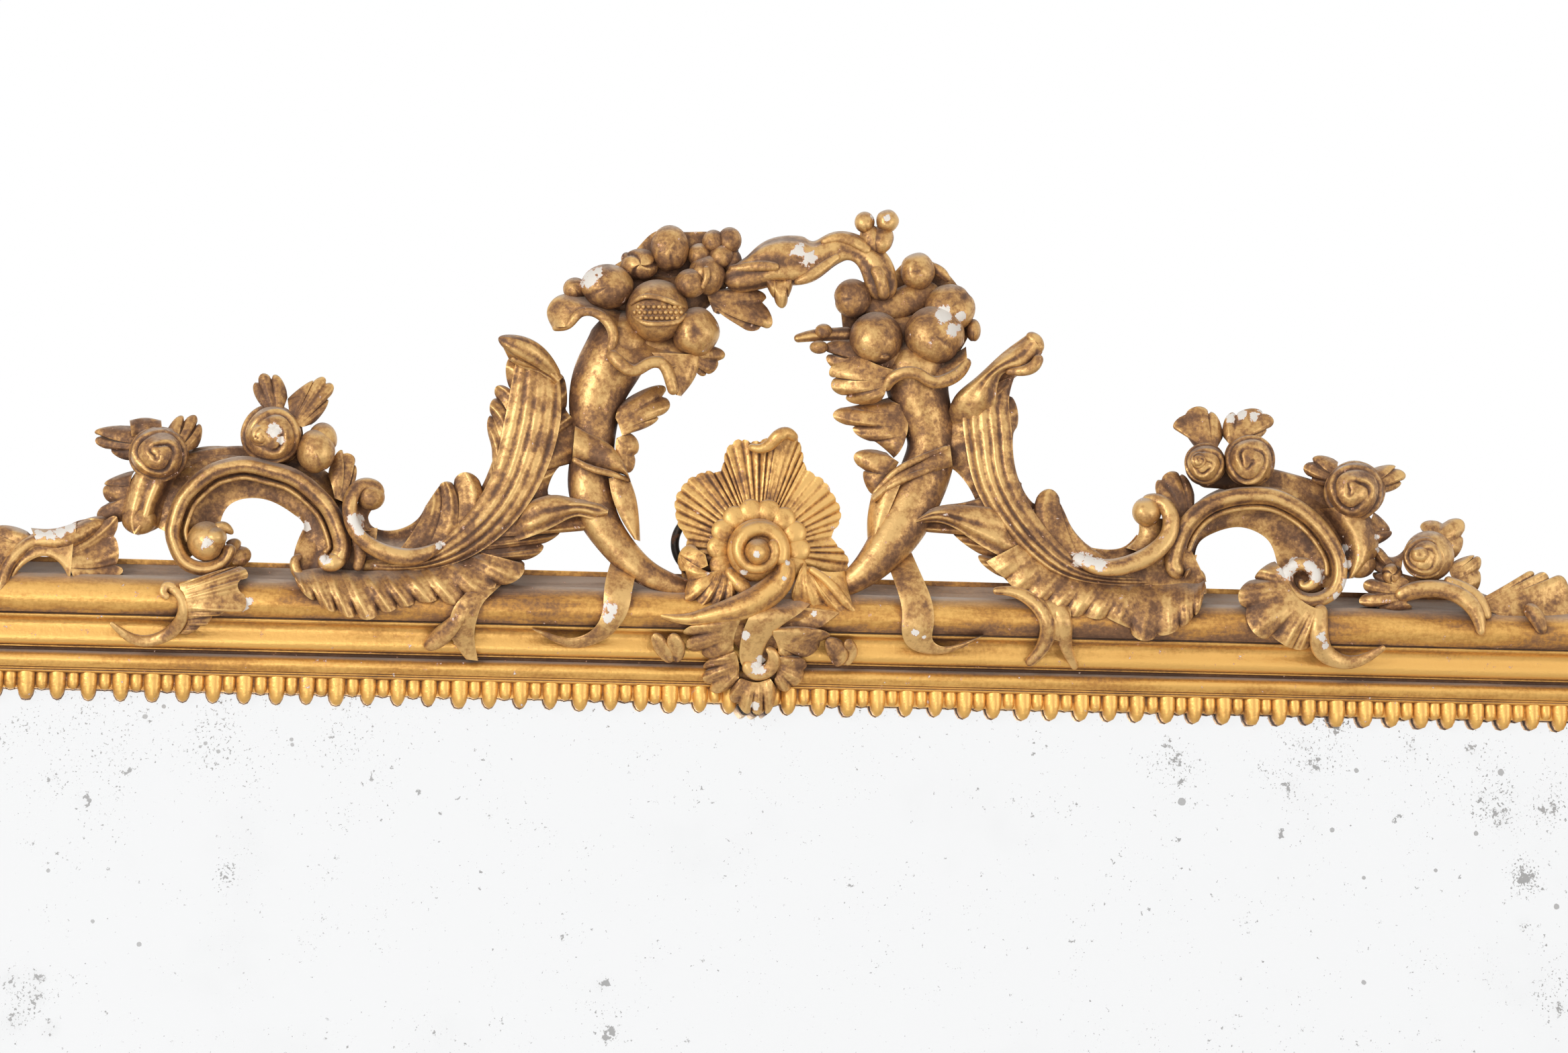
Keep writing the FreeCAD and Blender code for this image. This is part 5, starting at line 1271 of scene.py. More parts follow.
@dataclass
class Scroll(Carving):
    """C-scroll: an arched rib that curls inward at its end, with a cove inside it and leafwork behind."""

    rib_end: float = 10.0
    rib_front: float = 49.0
    fillet_radius: float = 4.2
    fillet_front: float = 47.0

    def ribs(self, rib: Rows, radius: float, run: slice, offset: float) -> list[Form]:
        """Return a fluted rib and the fillet beside it.

        Args:
            rib: pixels along the rib.
            radius: in pixels, at the rib's start.
            run: the stretch of it that has a fillet.
            offset: pixels from the rib to the fillet.
        Returns:
            Two rolls.
        """
        fillet = beside(rib[run], offset)
        thick = np.linspace(radius, self.rib_end, len(rib))
        rows = np.column_stack([rib, thick, np.full(len(rib), self.rib_front)])
        edge = [(u, v, self.fillet_radius, self.fillet_front) for u, v in fillet]
        return [
            Roll(rows, depth=1.25, flutes=5, groove=0.05, count=120, ring=24),
            Roll(edge, depth=1.1, count=90, ring=10),
        ]

    def left(self) -> Pieces:
        """Rib, fillet, cove, ball, hook, foot and back layer."""
        rib = ((495, 838), (508, 822), (507, 800), (500, 779), (489, 757), (467, 733), (437, 711),
            (404, 700), (369, 692), (344, 694), (316, 703), (292, 721), (273, 742), (262, 768), (257, 792),
            (262, 814), (275, 836), (300, 846), (322, 842), (337, 829), (343, 810))
        opening = ((437, 852), (438, 830), (453, 786), (440, 768), (405, 747), (369, 742), (343, 751),
            (331, 768), (326, 790))
        back = ((186, 760), (194, 715), (225, 690), (258, 678), (303, 665), (368, 669), (430, 684),
            (480, 698), (503, 722), (516, 750), (520, 790), (518, 832))
        return {"c_scroll_left": [
            *self.ribs(rib, 14.0, slice(16), -19),
            Band(beside(rib[:17], -7), opening, 47, (42, 36), bulge=-3.5, thickness=10, count=80),
            Bulb((307, 806, 48), (29, 30), 15, Swell.CLEFT, 0.5), Bulb((318, 800, 52), (20, 16), 12),
            Roll([(318, 790, 10, 50), (334, 786, 9, 50), (347, 795, 3, 48)]),
            Fan([(338, 822), (342, 830), (346, 838)], [(336, 808), (352, 802), (356, 812), (374, 828),
                (354, 846)], 48, 42),
            Band([(470, 790), (466, 818), (462, 846), (462, 880)], [(562, 786), (558, 816), (552, 846),
                (560, 884)], 38, 43, bulge=1, thickness=16),
            Band(back, ((262, 800), *rib[13:1:-1], (505, 835)), 30, 43, bulge=1.5, thickness=12, count=70),
            Band([(222, 684), (200, 706), (186, 738), (182, 770), (196, 794)], [(270, 700), (262, 728),
                (250, 756), (240, 782), (206, 797)], 42, 36, bulge=9, thickness=14, strands=2.6, strand=1.7),
            Bulb((208, 774, 40), (27, 22), 9),
            Band([(453, 784), (443, 806), (437, 830), (438, 858)], [(500, 790), (497, 812), (488, 832),
                (480, 862)], (38, 46), 46, bulge=-3, strands=1.5, strand=0.9, thickness=12),
            Roll([(452, 862, 8, 47), (441, 850, 8, 47), (440, 834, 7, 46), (450, 828, 4, 46)]),
            Roll([(508, 822, 13, 50), (496, 838, 13, 52), (482, 838, 9, 52), (482, 826, 6, 52)]),
        ]}

    def right(self) -> Pieces:
        """Rib, fillet, cove, worn eye, hook and back layer."""
        rib = ((1762, 856), (1748, 844), (1750, 820), (1759, 794), (1774, 772), (1797, 753), (1829, 741),
            (1859, 737), (1892, 739), (1919, 749), (1944, 765), (1966, 786), (1982, 809), (1993, 834),
            (1994, 859), (1985, 880), (1967, 892), (1945, 894), (1926, 885), (1916, 869), (1917, 852),
            (1930, 842))
        opening = ((1795, 864), (1780, 846), (1779, 824), (1786, 807), (1806, 794), (1841, 785), (1870, 792),
            (1890, 808), (1900, 835), (1906, 862))
        back = ((1742, 836), (1752, 790), (1775, 755), (1800, 735), (1850, 716), (1886, 713), (1959, 719),
            (2000, 745), (2035, 770), (2044, 800))
        return {"c_scroll_right": [
            *self.ribs(rib, 14.5, slice(1, 15), 19),
            Band(beside(rib[1:16], 7), opening, 47, (40, 38), bulge=-4, thickness=10, count=80),
            Roll([(1918, 850, 9, 50), (1930, 841, 10, 51), (1948, 843, 10, 52), (1958, 856, 9, 52),
                (1953, 870, 8, 51), (1940, 872, 6, 50), (1936, 862, 4, 49)], count=60),
            Bulb((1944, 866, 40), (30, 26), 6),
            Band(back, ((1748, 848), *rib[2:12], (1984, 812)), 30, 43, bulge=1.5, thickness=12, count=70),
            Band([(2022, 752), (2042, 774), (2051, 800), (2048, 828), (2014, 861)], [(1962, 758),
                (1982, 788), (1996, 815), (2000, 842), (2004, 862)], 42, 38, bulge=11, thickness=14,
                strands=1.2, strand=0.7),
            Bulb((2023, 840, 40), (25, 21), 9),
            Band([(1742, 830), (1742, 850), (1745, 870), (1752, 890)], [(1782, 826), (1780, 848),
                (1792, 864), (1796, 884)], 42, 44, bulge=2, thickness=14),
            Roll([(1764, 852, 12, 52), (1772, 856, 11, 51)]),
            Roll([(1778, 850, 8, 46), (1786, 862, 9, 46), (1780, 872, 7, 46)]),
        ]}


@dataclass
class Acanthus(Carving):
    """Acanthus leaf: a tall fluted blade, a trough with gadroons or lobes under it and a small S-scroll."""

    def halves(self, rib: Rows, upper: Rows, lower: Rows, lobe: int) -> list[Form]:
        """Return both halves of a blade.

        Args:
            rib: pixels along the middle rib.
            upper: notches and tips of the upper edge.
            lower: notches and tips of the lower edge.
            lobe: samples on each lobe.
        Returns:
            Two fluted fans.
        """
        first = Fan(rib, upper, (49, 46), (40, 42), bow=0.14, flute=1.9, thickness=16, across=24, lobe=lobe,
            shallow=0.0)
        return [first, replace(first, edge=lower, edge_front=(44, 38), bow=-0.04)]

    def left(self) -> Pieces:
        """Blade halves, rolled tip, trough, gadroons and S-scroll."""
        rib = ((575, 842), (625, 836), (670, 818), (706, 792), (731, 760), (750, 724), (765, 690),
            (778, 650), (790, 605), (798, 570))
        upper = ((632, 756), (645, 736), (654, 724), (664, 717), (675, 722), (694, 703), (717, 724),
            (729, 697), (737, 672), (725, 636), (734, 620), (729, 604), (739, 593), (741, 574), (762, 583),
            (753, 546), (768, 532))
        lower = ((729, 869), (770, 858), (776, 834), (802, 825), (806, 810), (828, 799), (832, 789),
            (896, 782), (900, 753), (860, 745), (816, 736), (824, 706), (842, 692), (866, 664), (860, 626),
            (850, 620), (842, 608), (844, 585), (839, 563), (834, 556), (822, 548))
        roots = ((436, 850), (446, 850), (462, 847), (484, 846), (510, 848), (540, 850), (568, 849),
            (600, 845), (636, 836), (672, 828), (705, 820))
        gadroons = ((438, 858), (454, 886), (468, 882), (489, 909), (499, 894), (517, 919), (528, 903),
            (549, 923), (562, 898), (581, 911), (588, 893), (607, 903), (615, 888), (639, 897), (648, 880),
            (678, 901), (690, 880), (718, 887), (734, 864), (772, 862), (776, 838))
        blade = [
            *self.halves(rib, upper, lower, 18),
            Band([(548, 826), (620, 826), (668, 796), (706, 752), (733, 702), (746, 650), (756, 600),
                (764, 556), (772, 520)], [(540, 852), (622, 850), (690, 834), (748, 796), (790, 746),
                (814, 700), (830, 650), (836, 600), (832, 556)], (52, 46), (52, 44), bulge=3.5, strands=4.4,
                strand=0.8, thickness=14, count=70, sink=(10, 0)),
            Band([(760, 762), (800, 742), (830, 737), (860, 743), (888, 747), (906, 758)], [(738, 814),
                (790, 799), (830, 781), (862, 769), (885, 775), (904, 768)], (50, 49), (50, 48), bulge=4,
                strands=2.4, strand=1.0, thickness=12, sink=(14, 0)),
            Roll([(742, 503, 4, 60), (758, 510, 12, 60), (783, 521, 17, 57), (808, 538, 15, 52),
                (832, 562, 6, 46)], depth=0.9, flutes=6, groove=0.07, twist=0.02),
            Roll([(760, 532, 6, 52), (786, 538, 9, 51), (812, 546, 8, 49), (826, 560, 4, 46)]),
            Band([(742, 503), (762, 500), (788, 510), (812, 527), (838, 562)], [(758, 536), (772, 545),
                (790, 552), (808, 560), (826, 572)], (58, 46), (50, 46), bulge=4, strands=2.4, strand=0.9,
                thickness=14),
            Fan(roots, gadroons, (48, 44), (58, 53), bulge=6, bow=0.0, flute=1.7, thickness=12, across=20,
                power=0.6, sharp=0.42, shallow=0.45),
            Band([(547, 758), (551, 780), (563, 788), (582, 790), (605, 784), (624, 770), (634, 752)],
                [(536, 800), (556, 814), (592, 824), (628, 820), (655, 806), (680, 785), (700, 765)], 28, 46,
                bulge=-5, thickness=10),
        ]
        return {"acanthus_left": blade, "s_scroll_left": [
            Bulb((552, 740, 48), (21, 20), 9),
            Roll([(562, 742, 9, 50), (560, 728, 10, 50), (542, 722, 10, 51), (526, 736, 11, 53),
                (521, 762, 11, 55), (530, 791, 11, 56), (552, 812, 12, 57), (585, 826, 13, 57),
                (622, 827, 12, 56), (657, 811, 6, 53)], flutes=3, groove=0.06, count=80),
            Band([(536, 740), (530, 765), (540, 790)], [(556, 756), (548, 772), (560, 792)], 48, 40,
                thickness=12),
            Roll([(530, 796, 8, 50), (536, 824, 9, 51), (530, 850, 6, 51)]),
        ]}

    def right(self) -> Pieces:
        """Blade halves, rolled tip, trough, lower lobes and S-scroll."""
        rib = ((1690, 864), (1640, 858), (1590, 842), (1550, 812), (1520, 775), (1498, 730), (1485, 690),
            (1477, 645), (1473, 605), (1482, 572))
        upper = ((1602, 804), (1588, 770), (1578, 750), (1561, 728), (1540, 750), (1527, 736), (1521, 720),
            (1509, 682), (1511, 640), (1515, 612), (1503, 590), (1502, 576), (1514, 560))
        lower = ((1536, 898), (1512, 877), (1494, 860), (1462, 840), (1462, 826), (1434, 809), (1418, 792),
            (1358, 786), (1372, 765), (1412, 751), (1453, 756), (1440, 722), (1414, 698), (1407, 660),
            (1411, 622), (1420, 595), (1468, 558))
        roots = ((1795, 862), (1780, 868), (1760, 866), (1735, 868), (1708, 866), (1684, 864), (1662, 860),
            (1636, 854), (1606, 846), (1580, 836), (1556, 820), (1536, 800))
        lobes = ((1792, 872), (1787, 905), (1776, 908), (1768, 928), (1756, 926), (1742, 944), (1724, 938),
            (1700, 954), (1684, 930), (1664, 928), (1646, 912), (1630, 922), (1614, 908), (1598, 918),
            (1584, 904), (1570, 910), (1556, 892), (1540, 898), (1526, 880), (1510, 876), (1500, 860),
            (1484, 852), (1468, 836))
        blade = [
            *self.halves(rib, upper, lower, 20),
            Band([(1756, 850), (1640, 850), (1594, 826), (1552, 780), (1524, 735), (1509, 690), (1506, 640),
                (1502, 595), (1512, 556)], [(1756, 880), (1640, 874), (1570, 858), (1516, 818), (1476, 770),
                (1448, 715), (1436, 655), (1436, 605), (1478, 552)], (52, 46), (52, 44), bulge=3.5,
                strands=4.4, strand=0.8, thickness=14, count=70, sink=(10, 4)),
            Fan(roots, lobes, (48, 44), (58, 50), bulge=6, bow=0.0, flute=1.2, thickness=12, across=20,
                power=0.6, sharp=0.42, shallow=0.5),
            Band([(1530, 772), (1480, 757), (1453, 753), (1413, 752), (1385, 758), (1358, 776)],
                [(1546, 852), (1500, 833), (1464, 815), (1434, 795), (1401, 779), (1360, 781)], (50, 48),
                (50, 47), bulge=4, strands=2.4, strand=1.0, thickness=12, sink=(16, 0)),
            Band([(1408, 640), (1420, 592), (1450, 564), (1488, 529), (1514, 509), (1532, 496)],
                [(1472, 640), (1482, 596), (1490, 560), (1508, 552), (1530, 552), (1552, 524)], (46, 52),
                (48, 55), bulge=5, strands=2.4, strand=1.0, thickness=14, sink=(12, 0)),
            Roll([(1528, 498, 6, 53), (1542, 508, 10, 54), (1546, 526, 8, 54)]),
            Roll([(1496, 552, 5, 52), (1515, 553, 7, 55), (1538, 546, 9, 57), (1548, 528, 7, 57)]),
            Band([(1640, 838), (1690, 828), (1722, 812), (1748, 800), (1770, 812)], [(1640, 872),
                (1690, 874), (1730, 872), (1770, 870), (1796, 866)], 46, 48, bulge=3, thickness=12),
            Band([(1600, 800), (1616, 812), (1644, 818), (1673, 814), (1692, 796)], [(1580, 822),
                (1612, 842), (1650, 850), (1690, 842), (1722, 820)], 34, 48, bulge=-4, thickness=10),
        ]
        return {"acanthus_right": blade, "s_scroll_right": [
            Bulb((1707, 762, 50), (22, 22), 10),
            Band([(1694, 772), (1694, 796), (1676, 816)], [(1736, 772), (1734, 800), (1712, 826)], 46, 46,
                bulge=4, thickness=14),
            Roll([(1700, 748, 9, 50), (1720, 745, 11, 51), (1738, 757, 12, 54), (1744, 780, 13, 55),
                (1737, 803, 13, 56), (1718, 823, 14, 57), (1690, 838, 14, 57), (1655, 846, 13, 57),
                (1625, 842, 12, 55), (1597, 828, 7, 52)], flutes=3, groove=0.05, count=70),
        ]}


@dataclass
class Shell(Carving):
    """Scallop shell at the middle: a fluted fan behind a ring of petals and a volute with a ball."""

    side: str = "middle"
    heart: tuple[float, float] = (1129.0, 819.0)
    rim: Rows = ((1040, 886), (1016, 858), (1012, 830), (1022, 812), (1020, 798), (1010, 782), (1006, 764),
        (1006, 743), (1014, 728), (1026, 714), (1042, 706), (1056, 702), (1068, 704), (1076, 694),
        (1079, 678), (1086, 664), (1102, 655), (1116, 658), (1130, 657), (1144, 652), (1156, 643),
        (1170, 639), (1182, 644), (1190, 660), (1195, 678), (1198, 694), (1210, 706), (1226, 716),
        (1238, 734), (1248, 752), (1251, 768), (1246, 784), (1238, 796), (1246, 812), (1258, 824),
        (1262, 846), (1240, 880))
    flutes: int = 42
    petal_count: int = 10
    petal_reach: float = 59.0
    ring_reach: float = 44.0

    def add(self, piece: Piece) -> None:
        """Put the fan into a piece: rules from a ring about the heart out to the rim, pressed into flutes."""
        count = self.flutes * 8 + 1
        share = np.linspace(0, 1, count)
        wave = 1 - 2 * np.abs(np.cos(math.pi * self.flutes * share)) ** 6
        rim = smooth(self.rim, count)
        rim += (rim - np.array(self.heart)) * 0.009 * wave[:, None]
        curl = np.exp(-((rim[:, 0] - 1160) / 34) ** 2 - ((rim[:, 1] - 645) / 40) ** 2)
        outer = np.column_stack([rim, 38 + 12 * curl])
        turn = np.arctan2(rim[:, 1] - self.heart[1], rim[:, 0] - self.heart[0])
        ring = np.array(self.heart) + self.ring_reach * np.column_stack([np.cos(turn), np.sin(turn)])
        inner = np.column_stack([ring, np.full(count, 46.0)])
        uneven = np.clip(0.45 + 0.7 * np.sin(7.0 * share * math.pi) ** 2, 0, 1)
        piece.patch(inner, outer, 26, -2.5, 0.0, wave * uneven, 0.7, 12.0, 0.5)

    def petals(self) -> list[Form]:
        """Round petals about the volute, from below its left side over the top to its right side."""
        turn = np.radians(np.linspace(158, 385, self.petal_count))
        places = np.array(self.heart) + self.petal_reach * np.column_stack([np.cos(turn), np.sin(turn)])
        return [Bulb((u, v, 49), (18.5, 18.5), 3.8, shape=(14, 24)) for u, v in places]

    def middle(self) -> Pieces:
        """The fan with its petals and volute, and the leaves that droop beside the volute's tail."""
        shell = [
            self, *self.petals(),
            Roll(spiral(self.heart, (36, 22), (40, -400), (13, 9), (57, 62), 40), depth=1.2, count=140,
                ring=20),
            Bulb((1129, 819, 52), (47, 47), 8), Bulb((1128, 822, 60), (20, 20), 13),
            Roll([(1168, 830, 12, 56), (1166, 856, 17, 57), (1142, 884, 20, 57), (1106, 903, 19, 57),
                (1066, 914, 14, 56), (1022, 922, 8, 54), (982, 916, 3, 52)], depth=1.0, flutes=4,
                groove=0.07, count=80),
            Roll([(1114, 664, 5, 46), (1130, 668, 7, 49), (1146, 662, 9, 52), (1158, 650, 10, 54),
                (1172, 645, 9, 54), (1186, 656, 6, 50)]),
            Roll([(1080, 846, 8, 50), (1104, 872, 12, 52), (1118, 884, 8, 52)]),
        ]
        leaves = [
            Fan([(1056, 852), (1066, 850), (1076, 850), (1088, 856)], [(1012, 826), (1020, 850), (1026, 862),
                (1020, 892), (1030, 896), (1040, 908), (1052, 902), (1062, 912), (1074, 900), (1088, 906),
                (1098, 872)], 52, 50, bulge=3.5, flute=1.2, thickness=10),
            Fan([(1050, 826), (1052, 834), (1054, 842)], [(1034, 812), (1012, 822), (1014, 850)], 52, 46,
                thickness=8),
            Fan([(1196, 838), (1202, 846), (1212, 848)], [(1188, 858), (1178, 886), (1190, 900), (1212, 906),
                (1226, 900), (1262, 924), (1282, 912), (1266, 890), (1258, 850)], 53, 50, bulge=4, bow=-0.06,
                flute=1.2, thickness=10, lobe=18),
            Roll([(1204, 846, 5, 54), (1232, 866, 7, 55), (1256, 894, 7, 54), (1276, 914, 3, 51)]),
        ]
        return {"shell": shell, "shell_leaves": leaves}


@dataclass
class Horn(Carving):
    """A horn of plenty with its wrapped leaf, side leaves and turned rim."""

    def left(self) -> Pieces:
        """The left horn bends away from the shell and opens upward."""
        tube = ((1058, 888, 12, 36), (1016, 876, 15, 41), (968, 857, 19, 43), (935, 832, 23, 43),
            (908, 800, 26, 41), (888, 765, 30, 39), (878, 725, 33, 37), (880, 690, 33, 36),
            (883, 650, 33, 36), (885, 615, 38, 36), (889, 588, 42, 36), (899, 560, 46, 36),
            (915, 531, 48, 36), (927, 504, 48, 36), (932, 478, 44, 36), (935, 462, 36, 36))
        return {"horn_left": [
            Roll(tube, depth=0.95, flutes=3, groove=0.025, twist=0.004, count=110, ring=32),
            Band([(822, 488), (814, 464), (828, 442), (858, 438), (900, 453), (940, 472)], [(846, 486),
                (862, 467), (884, 465), (905, 480), (914, 500), (908, 526)], (42, 42), (52, 54), bulge=4,
                ridges=2.5, flute=0.7, thickness=14),
            Roll([(822, 488, 5, 44), (846, 484, 6, 51), (862, 467, 7, 52), (884, 465, 7, 54),
                (905, 480, 8, 55), (913, 500, 8, 55), (907, 524, 6, 54)], count=60),
            Band([(903, 470), (930, 484), (970, 508), (1010, 520), (1042, 530)], [(906, 524), (922, 541),
                (946, 556), (970, 545), (990, 552)], (46, 44), (56, 54), bulge=3, thickness=14),
            Roll([(905, 522, 8, 54), (922, 540, 10, 57), (944, 552, 9, 57), (966, 541, 9, 56),
                (986, 542, 9, 55), (998, 566, 9, 54), (1004, 588, 8, 53)], count=60),
            Band([(970, 525), (985, 545), (998, 566), (1006, 588)], [(1042, 528), (1040, 548), (1030, 570),
                (1014, 590)], 52, 48, bulge=3, thickness=10),
        ], "horn_wrap_left": [
            Band([(856, 634), (884, 649), (908, 662), (928, 688), (938, 714)], [(852, 682), (878, 697),
                (904, 703), (928, 707), (939, 717)], (48, 50), (46, 48), bulge=5, flute=0.8, ridges=1.5,
                thickness=8),
            Roll([(852, 683, 4, 48), (878, 697, 5, 51), (904, 704, 5, 51), (938, 715, 3, 48)]),
        ], "horn_leaves_left": [
            Fan([(916, 622), (922, 636), (926, 650)], [(922, 602), (976, 574), (985, 591), (997, 606),
                (974, 620), (968, 634), (932, 645)], 46, 40, bulge=3, bow=-0.05, thickness=9, lobe=18),
            Fan([(918, 652), (916, 666), (924, 690)], [(932, 644), (950, 658), (943, 678), (943, 698),
                (932, 702)], 46, 42, bulge=3, thickness=9),
            Band([(906, 712), (912, 742), (926, 775), (944, 803)], [(936, 710), (946, 738), (951, 770),
                (953, 806)], 47, 44, bulge=3, thickness=8),
        ]}

    def right(self) -> Pieces:
        """The right horn is fuller and its wrap climbs to the right."""
        tube = ((1218, 888, 13, 36), (1256, 872, 17, 42), (1290, 848, 24, 44), (1320, 814, 32, 43),
            (1345, 776, 37, 40), (1364, 736, 38, 38), (1378, 700, 38, 37), (1386, 660, 36, 36),
            (1378, 620, 40, 36), (1368, 588, 45, 36), (1364, 560, 50, 36), (1362, 525, 52, 36),
            (1360, 500, 40, 36))
        return {"horn_right": [
            Roll(tube, depth=0.95, flutes=3, groove=0.025, twist=0.004, count=110, ring=32),
            Roll([(1316, 582, 7, 52), (1327, 564, 9, 55), (1350, 554, 9, 57), (1370, 558, 9, 57),
                (1388, 568, 9, 56), (1410, 565, 10, 54), (1430, 552, 9, 51), (1442, 534, 6, 48)], flutes=3,
                groove=0.06, count=60),
            Band([(1258, 520), (1295, 536), (1340, 540), (1390, 540), (1438, 516)], [(1290, 594),
                (1318, 580), (1350, 556), (1388, 568), (1440, 540)], (40, 42), (50, 50), bulge=4,
                thickness=14),
            Fan([(1336, 552), (1326, 566), (1318, 584)], [(1268, 520), (1236, 548), (1252, 560), (1238, 578),
                (1262, 588), (1276, 602), (1312, 596)], 55, 47, bulge=4, thickness=12, lobe=18),
        ], "horn_wrap_right": [
            Band([(1296, 738), (1328, 704), (1362, 684), (1414, 662)], [(1302, 748), (1342, 722),
                (1375, 708), (1418, 694)], (47, 48), (48, 49), bulge=4, ridges=2.5, flute=0.8, thickness=8),
            Roll([(1298, 742, 3, 47), (1340, 716, 5, 51), (1376, 702, 5, 51), (1416, 684, 4, 48)]),
            Roll([(1300, 736, 3, 47), (1330, 705, 5, 50), (1362, 686, 5, 51), (1412, 666, 4, 48)]),
        ], "horn_leaves_right": [
            Fan([(1346, 604), (1352, 632), (1346, 660)], [(1322, 592), (1290, 600), (1262, 603), (1240, 620),
                (1280, 635), (1276, 648), (1304, 657), (1316, 668), (1330, 682)], 46, 41, bulge=3,
                thickness=9, lobe=16),
            Fan([(1338, 688), (1330, 704), (1322, 722)], [(1320, 674), (1274, 674), (1292, 704), (1286, 716),
                (1298, 736)], 46, 42, bulge=3, thickness=9, lobe=16),
            Band([(1297, 738), (1291, 772), (1292, 814)], [(1340, 722), (1325, 758), (1300, 812)], 43, 50,
                bulge=3, thickness=8),
        ]}


@dataclass
class Fruit(Carving):
    """The fruit in a horn's mouth, with its leaves."""

    def seeds(self) -> list[Form]:
        """Three rows of seeds in the burst pomegranate, set on the front of its ball."""
        rows, columns = np.meshgrid(np.arange(3), np.arange(10), indexing="ij")
        u, v = (943 + 7.6 * columns + 2 * rows).ravel(), (457 + 8.2 * rows).ravel()
        stand = 45.6 + 17.6 * np.sqrt(1 - ((u - 978) ** 2 + (v - 463) ** 2) / 47 ** 2)
        inside = np.hypot((u - 980) / 40, (v - 465) / 13) < 1.02
        return [Bulb((a, b, c), (4.2, 4.2), 2.2, shape=(7, 10))
                for a, b, c in zip(u[inside], v[inside], stand[inside])]

    def left(self) -> Pieces:
        """Pomegranate, apple, peach, acorn, egg-shaped fruit, bud and grapes."""
        return {"fruit_left": [
            Bulb((978, 463, 46), (47, 47), 18, shape=(30, 48)), *self.seeds(),
            Roll([(938, 454, 2, 56), (958, 442, 4, 62), (982, 444, 4, 63), (1006, 452, 4, 61),
                (1022, 458, 2, 54)]),
            Roll([(938, 466, 2, 54), (958, 480, 4, 62), (985, 482, 4, 63), (1010, 478, 4, 59),
                (1022, 466, 2, 54)]),
            Bulb((1035, 494, 46), (36, 37), 15, Swell.DIMPLE),
            Bulb((904, 427, 44), (40, 34), 14, Swell.CLEFT, 2.6),
            Bulb((856, 430, 40), (18, 17), 8, Swell.CLEFT, 1.0),
            Bulb((997, 370, 40), (29, 35), 12, Swell.CLEFT, 1.4),
            Bulb((953, 394, 40), (28, 24), 10, Swell.BUD, 0.6),
            Roll([(930, 376, 6, 38), (938, 392, 10, 42), (956, 410, 8, 44)], flutes=4, groove=0.1),
            Bulb((1028, 422, 48), (24, 22), 11), Bulb((1052, 410, 42), (28, 30), 13, Swell.DIMPLE),
            Roll([(1050, 396, 5, 54), (1052, 412, 5, 56), (1044, 430, 4, 55)]),
            Bulb((1062, 360, 40), (17, 18), 8), Bulb((1086, 358, 40), (18, 20), 8),
            Bulb((1074, 382, 41), (19, 19), 9), Bulb((1090, 392, 38), (15, 22), 8),
            Bulb((1042, 380, 39), (19, 18), 9),
            Band([(880, 440), (905, 402), (940, 378), (975, 345), (1010, 345), (1050, 345), (1098, 350)],
                [(880, 470), (930, 470), (980, 475), (1030, 470), (1068, 440), (1088, 420), (1100, 390)], 33,
                36, bulge=2, thickness=10),
            Roll([(905, 430, 30, 36), (960, 440, 34, 34), (1020, 440, 34, 34), (1070, 400, 22, 34)],
                depth=0.5),
            Roll([(940, 500, 30, 40), (985, 520, 26, 42), (1030, 520, 18, 42)], depth=0.6),
        ], "fruit_leaves_left": [
            Fan([(1052, 436), (1056, 450), (1062, 464)], [(1062, 434), (1122, 430), (1134, 448), (1150, 480),
                (1134, 486), (1112, 492), (1096, 472), (1088, 466), (1070, 468)], 44, 40, bulge=2.5,
                thickness=8, lobe=16),
            Fan([(1024, 518), (1028, 532), (1030, 546)], [(1042, 514), (1076, 522), (1068, 538), (1064, 552),
                (1050, 556), (1044, 560), (1036, 552)], 48, 44, bulge=2, thickness=7),
        ]}

    def right(self) -> Pieces:
        """Apple, two peaches, small fruit and a bud twig."""
        return {"fruit_right": [
            Bulb((1304, 504, 46), (40, 40), 16, shape=(30, 48)),
            Bulb((1316, 531, 56), (8, 5), 3, Swell.DIMPLE),
            Bulb((1391, 499, 46), (45, 44), 17, Swell.CLEFT, 0.6, (30, 48)),
            Bulb((1414, 459, 40), (38, 36), 13, Swell.CLEFT, 5.6),
            Bulb((1366, 404, 40), (26, 28), 11, Swell.DIMPLE),
            Bulb((1269, 444, 44), (28, 29), 11, Swell.CLEFT, 3.0),
            Bulb((1449, 492, 38), (11, 17), 6, Swell.CLEFT, 1.6),
            Band([(1248, 430), (1285, 420), (1320, 415), (1350, 388), (1392, 392), (1436, 440)],
                [(1258, 522), (1290, 542), (1340, 552), (1390, 552), (1422, 532), (1446, 492)], 32, 34,
                bulge=2, thickness=8),
            Roll([(1285, 455, 16, 42), (1330, 455, 22, 40), (1370, 440, 22, 38), (1400, 440, 16, 36)],
                depth=0.6),
            Roll([(1268, 500, 22, 40), (1330, 500, 34, 38), (1400, 510, 34, 38)], depth=0.5),
            Roll([(1290, 535, 16, 46), (1350, 535, 18, 46), (1410, 540, 18, 44)], depth=0.6),
        ], "fruit_leaves_right": [
            Roll([(1270, 498, 11, 44), (1238, 498, 9, 44), (1208, 500, 8, 44), (1182, 505, 5, 44)], flutes=4,
                groove=0.1),
            Bulb((1226, 493, 46), (13, 11), 5), Bulb((1219, 517, 46), (14, 10), 5),
            Fan([(1300, 522), (1298, 536), (1290, 550)], [(1268, 504), (1230, 512), (1246, 528), (1232, 540),
                (1262, 560)], 50, 45, bulge=2.5, thickness=9, lobe=16),
            Roll([(1384, 394, 6, 38), (1402, 406, 8, 39), (1413, 419, 4, 38)], flutes=3, groove=0.1),
        ]}


